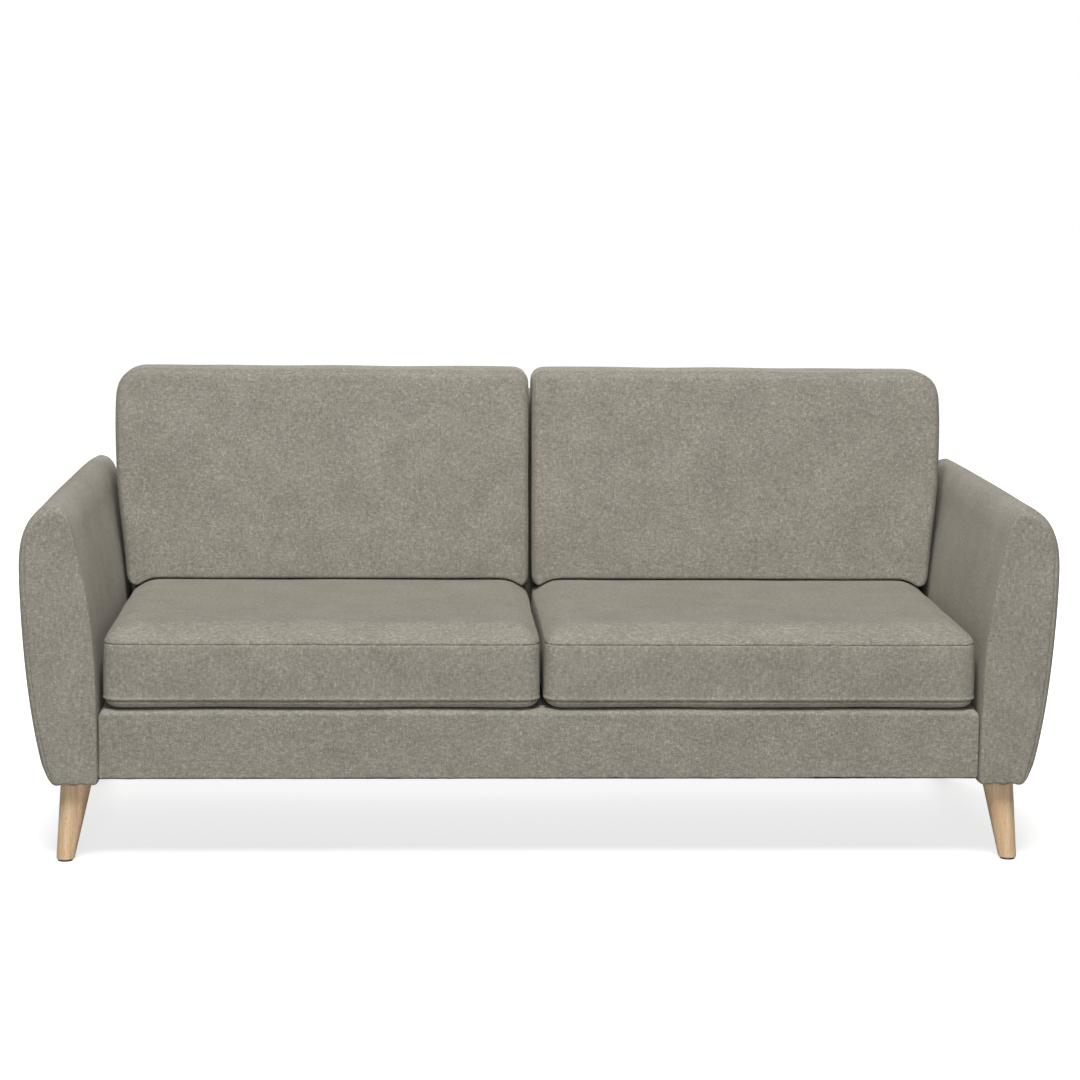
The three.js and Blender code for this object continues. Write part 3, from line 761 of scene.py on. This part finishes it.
def arm_form(inset=0.0, count=330, steps=70):
    """The arm's shape, with every face set in by the inset."""
    # The front strip is narrower than the arm: the outer panel swells past it.
    front_turn = in_mm((11, 26), (3, 7), (24, 32), (5, 6))
    rear_turn = in_mm((16, 26), (5, 8), (26, 40), (5, 6))
    middle_x = ARM_LOW.x + 72 * MM
    return Form(
        arm_outline(inset, count),
        upright_at(ARM_LOW.y + inset),
        lambda height: rear_y(height) - inset,
        front_turn,
        rear_turn,
        [(middle_x, 220 * MM), (middle_x, 610 * MM)],
        steps,
    )


def arm_cover(cloth):
    """The arm's cover, with the seams round its outer panel and up the edge of the inner one."""
    form = arm_form()
    piece = form.build("right_arm_fabric", cloth)
    points = read_points(piece)
    facing = form.facing()
    height = points[:, 2]
    outer_side = rise(facing[:, 0], 0.55, 0.85) * (1 - rise(height, 600 * MM, 650 * MM))
    inner_side = rise(-facing[:, 0], 0.5, 0.8) * (1 - rise(height, 570 * MM, 620 * MM))
    front = np.concatenate(form.from_front)
    sewn = outer_side + 0.7 * inner_side
    amount = groove(front, width=SEAM_WIDTH, depth=1.9 * MM) * sewn
    amount += pillowing(front, width=9 * MM, height=0.9 * MM) * outer_side
    rear = np.concatenate(form.from_rear)
    amount += groove(rear, width=SEAM_WIDTH, depth=1.6 * MM)
    # The outer panel is sewn on along the top as well, just outside the crest, where the cover
    # slopes by this much. Over the turn's length the slope changes by 1.
    seam_slope = 1.15
    turn_length = 45 * MM
    slope = facing[:, 1] / np.maximum(facing[:, 0], 1e-6)
    on_top = rise(points[:, 1], ARM_LOW.y + 4 * MM, ARM_LOW.y + 40 * MM) * (facing[:, 0] > 0)
    off_seam = np.abs(slope - seam_slope) * turn_length
    amount += groove(off_seam, width=2.2 * MM, depth=1.2 * MM) * on_top
    # Over the leg the cloth is pulled round the corner and puckers a little.
    low = 1 - rise(height, ARM_LOW.z + 4 * MM, ARM_LOW.z + 60 * MM)
    near_front = 1 - rise(points[:, 1], ARM_LOW.y + 10 * MM, ARM_LOW.y + 90 * MM)
    puckers = ripples(points * (1, 0.4, 0.25), length=26 * MM, seed=11)
    amount += 1.3 * MM * puckers * low * near_front
    # Padding is never quite even.
    amount += 0.9 * MM * ripples(points, length=240 * MM, seed=12)
    form.raise_piece(piece, amount)
    return piece


def arm_foam(foam):
    """The pad inside the cover: a shell round the boards."""
    thickness = 17.1 * MM
    outside = arm_form(UNDER_COVER, 110, 24).build("right_arm_padding", foam)
    inside = arm_form(UNDER_COVER + thickness, 110, 24).build("right_arm_hollow", foam)
    return shell(outside, inside)


# ---- rail and back ----


def rail_form(front, top, end, rear):
    """The front rail's shape, rounded over its top edge, each face set in as far as stated."""
    low_x, high_x = RAIL_LOW.x + end, RAIL_HIGH.x - end
    low_z, high_z = RAIL_LOW.z + top, RAIL_HIGH.z - top
    lower_radius, upper_radius = 5 * MM, 21 * MM
    outline = rounded_outline(
        (low_x, low_z, lower_radius),
        (high_x, low_z, lower_radius),
        (high_x, high_z, upper_radius),
        (low_x, high_z, upper_radius),
    )
    turn = in_mm((4, 6), (4, 6), (12, 16), (4, 8))
    flat = in_mm((1, 1), (1, 1), (1, 1), (1, 1))
    middle = (RAIL_LOW.z + RAIL_HIGH.z) / 2
    return Form(
        evenly(outline, 900),
        upright_at(RAIL_LOW.y + front),
        upright_at(RAIL_HIGH.y - rear),
        turn,
        flat,
        [(RAIL_LOW.x + 70 * MM, middle), (RAIL_HIGH.x - 70 * MM, middle)],
        8,
    )


def rail_cover(cloth):
    """The cover of the front rail."""
    form = rail_form(front=0, top=0, end=0, rear=0)
    piece = form.build("front_rail_fabric", cloth)
    points = read_points(piece)
    swell = 0.7 * MM * ripples(points * (1, 1, 0.6), length=190 * MM, seed=21)
    # Along its lower edge the cloth is stapled, and puckers.
    low = 1 - rise(points[:, 2], RAIL_LOW.z + 4 * MM, RAIL_LOW.z + 36 * MM)
    swell += 0.5 * MM * ripples(points * (1, 0.4, 0.3), length=34 * MM, seed=22) * low
    off_the_board = points[:, 1] < RAIL_HIGH.y - 6 * MM
    form.raise_piece(piece, swell * off_the_board)
    return piece


def rail_foam(foam):
    """The pad between the front rail's board and its cover."""
    outside = rail_form(front=UNDER_COVER, top=UNDER_COVER, end=UNDER_COVER, rear=0.4 * MM)
    inside = rail_form(front=14.6 * MM, top=14.6 * MM, end=5.6 * MM, rear=1.2 * MM)
    pad = outside.build("front_rail_padding", foam)
    return shell(pad, inside.build("front_rail_hollow", foam))


def back_outline(count=900):
    """Front outline of the back: its sides follow the flare of the arms."""
    gap_to_arm = 1.5 * MM
    low = ARM_LOW.x - gap_to_arm
    high = low + SHOULDER_OUT
    bottom, top = BACK_LOW.z, BACK_HIGH.z
    corner = 45 * MM
    right = np.vstack(
        [
            curve((0, bottom), (low, bottom)),
            curve((low, bottom), (low, FLARE_START)),
            curve(*flare(low, high)),
            curve((high, SHOULDER_HEIGHT), (high, top - corner)),
            curve((high, top - corner), (high, top), (high - corner, top)),
            curve((high - corner, top), (0, top)),
        ]
    )
    left = right[:0:-1] * (-1, 1)
    return evenly(np.vstack([right, [(0, top)], left]), count)


def back_cover(cloth):
    """The cover of the back, with a seam round its rear panel."""
    side = (7 * MM, 9 * MM)
    top = (BACK_TOP_EDGE, BACK_TOP_EDGE)
    turn = [side, side, top, (3 * MM, 3 * MM)]
    form = Form(
        back_outline(),
        back_face_y,
        rear_y,
        turn,
        turn,
        [(-620 * MM, 500 * MM), (620 * MM, 500 * MM)],
        14,
    )
    piece = form.build("back_fabric", cloth)
    points = read_points(piece)
    facing = form.facing()
    sides_and_top = np.clip(rise(np.abs(facing[:, 0]), 0.4, 0.8) + (facing[:, 1] > 0.2), 0, 1)
    rear = np.concatenate(form.from_rear)
    amount = groove(rear, width=SEAM_WIDTH, depth=1.8 * MM) * sides_and_top
    amount += pillowing(rear, width=10 * MM, height=0.8 * MM) * sides_and_top
    amount += 0.9 * MM * ripples(points, length=260 * MM, seed=31)
    form.raise_piece(piece, amount)
    return piece


# ---- legs ----

LEG_SIDES = 72
SOLE_RADIUS = 17 * MM
HEAD_RADIUS = 31.5 * MM
SOLE_ROUNDING = 2.2 * MM


def turned_leg(name, node, oak):
    """A tapered round leg on a sloping axis, with its lower edge eased."""
    low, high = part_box(node)
    side = 1 if low.x > 0 else -1
    sole_x = side * (max(abs(low.x), abs(high.x)) - SOLE_RADIUS)
    head_x = side * (min(abs(low.x), abs(high.x)) + HEAD_RADIUS)
    to_front = low.y < 0
    sole_y = low.y + SOLE_RADIUS if to_front else high.y - SOLE_RADIUS
    head_y = high.y - HEAD_RADIUS if to_front else low.y + HEAD_RADIUS
    eased = [
        (SOLE_ROUNDING * (1 - math.cos(a)), SOLE_ROUNDING * (1 - math.sin(a)))
        for a in np.linspace(0, math.pi / 2, 6)
    ]
    levels = eased + [(up, 0) for up in np.linspace(4 * MM, high.z - low.z, 36)]
    around = np.linspace(0, 2 * math.pi, LEG_SIDES, endpoint=False)
    rings = []
    for up, drawn in levels:
        share = up / (high.z - low.z)
        radius = SOLE_RADIUS * (1 - share) + HEAD_RADIUS * share - drawn
        x = sole_x * (1 - share) + head_x * share + radius * np.cos(around)
        y = sole_y * (1 - share) + head_y * share + radius * np.sin(around)
        rings.append(np.column_stack([x, y, np.full(LEG_SIDES, low.z + up)]))
    return ringed_piece(name, rings, oak)


# ---- sheets ----


def stretched_sheet(name, node, cell, sag, pucker, material):
    """Thin cloth stapled along its edges, in a grid of cells: it sags by so much at its middle,
    and puckers by so much at the staples."""
    thickness = 0.6 * MM
    pucker_reach = 60 * MM
    low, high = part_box(node)
    across = round((high.x - low.x) / cell)
    deep = round((high.y - low.y) / cell)
    u, v = np.meshgrid(np.linspace(0, 1, across + 1), np.linspace(0, 1, deep + 1))
    u, v = u.ravel(), v.ravel()
    x = low.x + u * (high.x - low.x)
    y = low.y + v * (high.y - low.y)
    points = np.column_stack([x, y, np.zeros(len(x))])
    # Roughly how far off the nearest edge is.
    edge = np.minimum(np.minimum(u, 1 - u) * (high.x - low.x), np.minimum(v, 1 - v))
    hang = sag * (4 * u * (1 - u)) * (4 * v * (1 - v))
    folds = pucker * ripples(points, length=55 * MM, seed=41) * np.exp(-edge / pucker_reach)
    points[:, 2] = high.z - 0.5 * MM - hang - np.abs(folds)
    row = across + 1
    faces = [
        (at, at + 1, at + 1 + row, at + row)
        for at in range(len(points) - row)
        if at % row < across
    ]
    piece = make_piece(name, points, faces, material)
    apply_modifier(piece, "SOLIDIFY", thickness=thickness, offset=0)
    return piece


# ---- loose cushions ----

# A cushion starts this much smaller than its box on each free side, then is filled.
SLACK = 4 * MM
# The mesh size of the cloth, the frames for which it is blown up, and the pressure in it.
VOXEL = 6 * MM
FRAMES = 20
PRESSURE = 4
# The furthest that the cloth may rise, and how often the rise is then evened out.
SEAT_RISE_CAP = 9 * MM
PILLOW_RISE_CAP = 7 * MM
EVENING_ROUNDS = 40
# The depth over which a cushion gives when it is pressed against a side of its box.
GIVE = 3 * MM
# The back cushion's outer side may bulge past its box by this much.
PILLOW_BULGE = 3 * MM
PILLOW_DEPTH = PILLOW_HIGH.y - PILLOW_LOW.y - FACE_LEAN * (PILLOW_HIGH.z - PILLOW_LOW.z)
# Rows of points on both sides of a seam, in seam widths.
SEAM_ROWS = (-3.2, -1.6, -0.8, -0.4, 0, 0.4, 0.8, 1.6, 3.2)


def seat_start(cloth):
    """The seat cushion before it is filled, drawn in plan: its top is rounded over further at
    the front than at the rear, and its underside tucks in below the lower seam."""
    inner, outer = SEAT_LOW.x + 2 * MM, SEAT_HIGH.x - SLACK
    front, rear = SEAT_LOW.y + SLACK, SEAT_HIGH.y - SLACK
    outline = rounded_outline(
        (inner, front, 34 * MM),
        (outer, front, 34 * MM),
        (outer, rear, 30 * MM),
        (inner, rear, 30 * MM),
    )
    under_turn = in_mm((48, 18), (48, 18), (26, 14), (26, 14))
    top_turn = in_mm((52, 30), (52, 30), (36, 26), (74, 30))
    middle_y = (SEAT_LOW.y + SEAT_HIGH.y) / 2 + 60 * MM
    form = Form(
        evenly(outline, 300),
        upright_at(SEAT_LOW.z),
        upright_at(SEAT_HIGH.z - 9 * MM),
        under_turn,
        top_turn,
        [(SEAT_LOW.x + 300 * MM, middle_y), (SEAT_HIGH.x - 300 * MM, middle_y)],
        10,
    )
    # The form is drawn lying on its front, so its depth becomes the height here.
    form.points = [ring[:, (0, 2, 1)] for ring in form.points]
    return form.build("right_seat_cushion_fabric", cloth)


def pillow_start(cloth):
    """The back cushion before it is filled, drawn from the front and upright."""
    inner, outer = PILLOW_LOW.x + 1 * MM, PILLOW_HIGH.x - SLACK
    bottom, top = PILLOW_LOW.z, PILLOW_HIGH.z - SLACK
    outline = rounded_outline(
        (inner, bottom, 20 * MM),
        (outer - 29 * MM, bottom, 20 * MM),
        (outer + PILLOW_BULGE, bottom + 265 * MM, 95 * MM),
        (outer - 6 * MM, top, 56 * MM),
        (inner, top, 32 * MM),
    )
    front_turn = in_mm((15, 22), (15, 22), (15, 22), (4, 8))
    rear_turn = in_mm((20, 26), (20, 26), (20, 26), (20, 26))
    middle_z = (bottom + top) / 2
    form = Form(
        evenly(outline, 300),
        upright_at(SLACK),
        upright_at(PILLOW_DEPTH - SLACK),
        front_turn,
        rear_turn,
        [(PILLOW_LOW.x + 220 * MM, middle_z), (PILLOW_HIGH.x - 220 * MM, middle_z)],
        10,
    )
    return form.build("right_back_cushion_fabric", cloth)


def fill(piece, cap):
    """Blows the cushion up as cloth under pressure, and lets no point move further than cap."""
    apply_modifier(piece, "REMESH", mode="VOXEL", voxel_size=VOXEL)
    start = read_points(piece)
    modifier = piece.modifiers.new("cloth", "CLOTH")
    settings = modifier.settings
    settings.quality = 4
    settings.mass = 0.3
    settings.tension_stiffness = 22
    settings.compression_stiffness = 18
    settings.shear_stiffness = 8
    settings.bending_stiffness = 1.2
    settings.use_pressure = True
    settings.uniform_pressure_force = PRESSURE
    settings.effector_weights.gravity = 0
    modifier.collision_settings.use_collision = False
    modifier.point_cache.frame_start = 1
    modifier.point_cache.frame_end = FRAMES
    for at in range(1, FRAMES + 1):
        bpy.context.scene.frame_set(at)
    keep_evaluated(piece)
    bpy.context.scene.frame_set(1)
    moved = read_points(piece) - start
    write_points(piece, start)
    swell = np.sum(moved * read_normals(piece), axis=1)
    raise_surface(piece, evened(piece, np.clip(swell, 0, cap)))


def evened(piece, values):
    """The values at a piece's points, each drawn toward those of its neighbours."""
    ends = np.empty(2 * len(piece.data.edges), dtype=np.int32)
    piece.data.edges.foreach_get("vertices", ends)
    here = np.concatenate((ends[::2], ends[1::2]))
    there = np.concatenate((ends[1::2], ends[::2]))
    neighbours = np.bincount(here, minlength=len(values))
    for _ in range(EVENING_ROUNDS):
        total = np.bincount(here, weights=values[there], minlength=len(values))
        values = (values + total / neighbours) / 2
    return values


def fit(piece, low, high):
    """Presses a cushion into its box: what stands out further is flattened against the side."""
    points = read_points(piece)
    for toward, wall in ((1, np.array(high)), (-1, np.array(low))):
        over = np.maximum(toward * (points - wall) + GIVE, 0)
        pressed = wall - toward * GIVE * np.exp(-over / GIVE)
        points = np.where(over > 0, pressed, points)
    write_points(piece, points)


def sew(piece, place, normal, width, depth, ridge=0.0):
    """A seam where a plane crosses the cushion: rows of points are cut in beside the plane,
    then drawn in. A ridge stands proud on the side that the normal points to."""
    normal = Vector(normal).normalized()
    form = bmesh.new()
    form.from_mesh(piece.data)
    for share in SEAM_ROWS:
        geometry = form.verts[:] + form.edges[:] + form.faces[:]
        bmesh.ops.bisect_plane(
            form,
            geom=geometry,
            dist=0.02 * MM,
            plane_co=Vector(place) + normal * share * width,
            plane_no=normal,
        )
    form.to_mesh(piece.data)
    form.free()
    piece.data.shade_smooth()
    points = read_points(piece)
    off = (points - np.array(place)) @ np.array(normal)
    puckers = 1 + 0.3 * ripples(points, length=17 * MM, seed=51)
    amount = groove(off, width, depth) * puckers
    amount += ridge * np.exp(-(((off - 2.4 * width) / (1.5 * width)) ** 2))
    raise_surface(piece, amount)


def foam_core(piece, name, foam):
    """The block of foam inside a cushion, cut a little smaller than its cover."""
    core = new_object(name, piece.data.copy())
    core.data.materials.clear()
    core.data.materials.append(foam)
    under_cover = 5 * MM
    raise_surface(core, np.full(len(core.data.vertices), -under_cover))
    apply_modifier(core, "REMESH", mode="VOXEL", voxel_size=15 * MM)
    return core


def seat_cushion(cloth, foam):
    """The right seat cushion's cover, with its two seams, and its core."""
    piece = seat_start(cloth)
    fill(piece, SEAT_RISE_CAP)
    fit(piece, SEAT_LOW, SEAT_HIGH)
    core = foam_core(piece, "right_seat_cushion_foam", foam)
    apply_modifier(piece, "SUBSURF", levels=1, render_levels=1)
    raise_surface(piece, 0.8 * MM * ripples(read_points(piece), length=200 * MM, seed=61))
    up = (0, 0, 1)
    upper = (0, 0, SEAT_HIGH.z - 38 * MM)
    lower = (0, 0, SEAT_LOW.z + 15 * MM)
    sew(piece, upper, up, width=1.3 * MM, depth=1.5 * MM, ridge=0.25 * MM)
    sew(piece, lower, up, width=1.6 * MM, depth=2.6 * MM, ridge=2.2 * MM)
    fit(piece, SEAT_LOW, SEAT_HIGH)
    return piece, core


def seat_top(seat):
    """Height of the seat cushion below the back cushion, at each of a row of places across:
    the highest point there, or anywhere behind it."""
    tree = surface_tree(seat)
    places = np.linspace(SEAT_LOW.x - 20 * MM, SEAT_HIGH.x + 40 * MM, 120)
    depths = np.linspace(PILLOW_LOW.y - 6 * MM, SEAT_HIGH.y, 14)
    tops = []
    for x in places:
        hits = [tree.ray_cast((x, y, 1.0), (0, 0, -1))[0] for y in depths]
        tops.append(max((hit.z for hit in hits if hit), default=SEAT_LOW.z))
    return places, np.array(tops)


def back_cushion(cloth, foam, seat):
    """The right back cushion's cover, with a seam near each face, and its core."""
    piece = pillow_start(cloth)
    fill(piece, PILLOW_RISE_CAP)
    low = (PILLOW_LOW.x, 0, PILLOW_LOW.z)
    high = (PILLOW_HIGH.x + PILLOW_BULGE, PILLOW_DEPTH, PILLOW_HIGH.z)
    fit(piece, low, high)
    apply_modifier(piece, "SUBSURF", levels=1, render_levels=1)
    raise_surface(piece, 0.9 * MM * ripples(read_points(piece), length=230 * MM, seed=62))
    for y, normal in ((17 * MM, (0, 1, 0)), (PILLOW_DEPTH - 22 * MM, (0, -1, 0))):
        sew(piece, (0, y, 0), normal, width=1.3 * MM, depth=1.7 * MM, ridge=0.3 * MM)
    fit(piece, low, high)
    lean_and_settle(piece, seat)
    core = foam_core(piece, "right_back_cushion_foam", foam)
    return piece, core


def lean_and_settle(piece, seat):
    """Leans the back cushion on the back, and lets its lower edge follow the seat cushion."""
    points = read_points(piece)
    low = PILLOW_LOW.z
    points[:, 1] += PILLOW_LOW.y + FACE_LEAN * (points[:, 2] - low)
    places, tops = seat_top(seat)
    clearance = 1.2 * MM
    target = np.interp(points[:, 0], places, tops) + clearance
    shift = np.clip(target - low, -17 * MM, 3 * MM)
    points[:, 2] += shift * (1 - rise(points[:, 2], low, low + 90 * MM))
    write_points(piece, points)


# ---- zips ----

# The blocks that a zip is made of: each one's length, width and thickness.
TOOTH_PITCH = 2.4 * MM
TAPE = (TOOTH_PITCH, 9 * MM, 0.5 * MM)
TOOTH = (1.5 * MM, 3.6 * MM, 1.4 * MM)
COIL_LOOP = (2.3 * MM, 1 * MM, 1.8 * MM)
SLIDER = (11 * MM, 7 * MM, 2.4 * MM)
PULL_TAB = (24 * MM, 4 * MM, 1 * MM)
BOX_FACES = ((0, 1, 3, 2), (4, 6, 7, 5), (0, 4, 5, 1), (2, 3, 7, 6), (0, 2, 6, 4), (1, 5, 7, 3))


def box_points(middle, along, across, up, size):
    """The eight corners of a small block turned to lie on a surface."""
    return [
        middle + (along * a * size[0] + across * b * size[1] + up * c * size[2]) / 2
        for a in (-1, 1)
        for b in (-1, 1)
        for c in (-1, 1)
    ]


def zip_piece(name, node, cushion, toward, material):
    """A coil zip on its tape, laid on the cushion where the node's slot is. The node's centre
    line is cast on to the cushion along `toward`."""
    low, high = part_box(node)
    tree = surface_tree(cushion)
    toward = Vector(toward)
    along = Vector((1, 0, 0))
    middle = (low + high) / 2
    points = []
    faces = []
    count = int((high.x - low.x) / TOOTH_PITCH)
    for index in range(count + 1):
        start = Vector((low.x + index * TOOTH_PITCH, middle.y, middle.z)) - toward * 0.2
        hit, normal, _, _ = tree.ray_cast(start, toward)
        if hit is None:
            continue
        up = normal if normal.dot(toward) < 0 else -normal
        across = up.cross(along).normalized()
        side = 1 if index % 2 else -1
        on_tape = hit + up * 1.4 * MM
        blocks = [
            (hit + up * 0.5 * MM, TAPE),
            (on_tape + across * side * 1.0 * MM, TOOTH),
            (on_tape + across * side * 2.6 * MM, COIL_LOOP),
        ]
        if index == count - 4:
            blocks.append((hit + up * 2.4 * MM, SLIDER))
            blocks.append((hit + up * 3.4 * MM - along * 14 * MM, PULL_TAB))
        for place, size in blocks:
            first = len(points)
            points += box_points(place, along, across, up, size)
            faces += [tuple(first + at for at in face) for face in BOX_FACES]
    return make_piece(name, points, faces, material)


# ---- assembly ----


def settle(piece, body, slot, *nodes):
    """Says which body a piece rides on, and hides the nodes that it stands for. The slot is not used.
    """
    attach(piece, body)
    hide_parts(*nodes)


def both_sides(right):
    """A right-hand piece and its mirror image, each with its side's name."""
    left = new_object(right.name.replace("right", "left", 1), right.data.copy())
    left.data.name = left.name
    left.data.transform(Matrix.Scale(-1, 4, (1, 0, 0)))
    left.data.flip_normals()
    return {"right": right, "left": left}


def dress_arms(materials):
    covers = both_sides(arm_cover(materials["cover_fabric"]))
    pads = both_sides(arm_foam(materials["foam"]))
    for side in ("left", "right"):
        settle(covers[side], "frame", "cover_fabric", f"{side}_arm_cover")
        settle(pads[side], "frame", "foam", f"{side}_arm_foam")
        for end in ("front", "rear"):
            node = f"{side}_{end}_leg"
            leg = turned_leg(f"{node}_turned", node, materials["leg_wood"])
            settle(leg, "frame", "leg_wood", node)


def dress_base(materials):
    rail = rail_cover(materials["cover_fabric"])
    settle(rail, "frame", "cover_fabric", "front_rail_cover")
    pad = rail_foam(materials["foam"])
    settle(pad, "frame", "foam", "front_rail_foam")
    back = back_cover(materials["cover_fabric"])
    settle(back, "frame", "cover_fabric", "back_cover")
    felt = materials["deck_felt"]
    deck = stretched_sheet("seat_deck_felt", "seat_deck", 18 * MM, 0, 0, felt)
    settle(deck, "frame", "deck_felt", "seat_deck")
    lining = materials["lining_cloth"]
    lower = stretched_sheet("dust_cover_cloth", "dust_cover", 14 * MM, 0.5 * MM, 0.4 * MM, lining)
    settle(lower, "frame", "lining_cloth", "dust_cover")


def dress_cushions(materials):
    cloth, foam = materials["cover_fabric"], materials["foam"]
    seat, seat_core = seat_cushion(cloth, foam)
    pillow, pillow_core = back_cushion(cloth, foam, seat)
    sets = (
        ("seat_cushion", seat, seat_core, (0, -1, 0)),
        ("back_cushion", pillow, pillow_core, (0, 0, 1)),
    )
    for kind, cover, core, toward in sets:
        node = f"right_{kind}_zip"
        coil = zip_piece(f"{node}_coil", node, cover, toward, materials["zip_plastic"])
        covers, cores, coils = (both_sides(piece) for piece in (cover, core, coil))
        for side in ("left", "right"):
            body = f"{side}_{kind}"
            settle(covers[side], body, "cover_fabric", f"{body}_cover")
            settle(cores[side], body, "foam", f"{body}_core")
            settle(coils[side], body, "zip_plastic", f"{body}_zip")


def finish_nodes(materials):
    """Gives each carried-over node the material of its slot."""
    slots = {part["node"]: part["material_slot"] for part in frame["record"]["subparts"]}
    for node, piece in frame["nodes"].items():
        piece.data.materials.clear()
        piece.data.materials.append(materials[slots[node]])


def lay_floor():
    reach = 60.0
    points = [(x * reach, y * reach, 0) for x, y in ((-1, -1), (1, -1), (1, 1), (-1, 1))]
    floor = make_piece("studio_floor", points, [(0, 1, 2, 3)], painted_floor())


set_camera()
set_light()
lay_floor()
materials = {
    "cover_fabric": woven_melange(),
    "leg_wood": lacquered_oak(),
    "frame_timber": planed_spruce(),
    "plywood": sawn_plywood(),
    "foam": cut_foam(),
    "deck_felt": needled_felt(),
    "lining_cloth": spun_lining(),
    "webbing": elastic_webbing(),
    "zip_plastic": zip_nylon(),
    "glide_plastic": moulded_glide(),
    "spring_steel": tempered_spring(),
    "zinc_steel": bright_zinc(),
}
finish_nodes(materials)
dress_arms(materials)
dress_base(materials)
dress_cushions(materials)
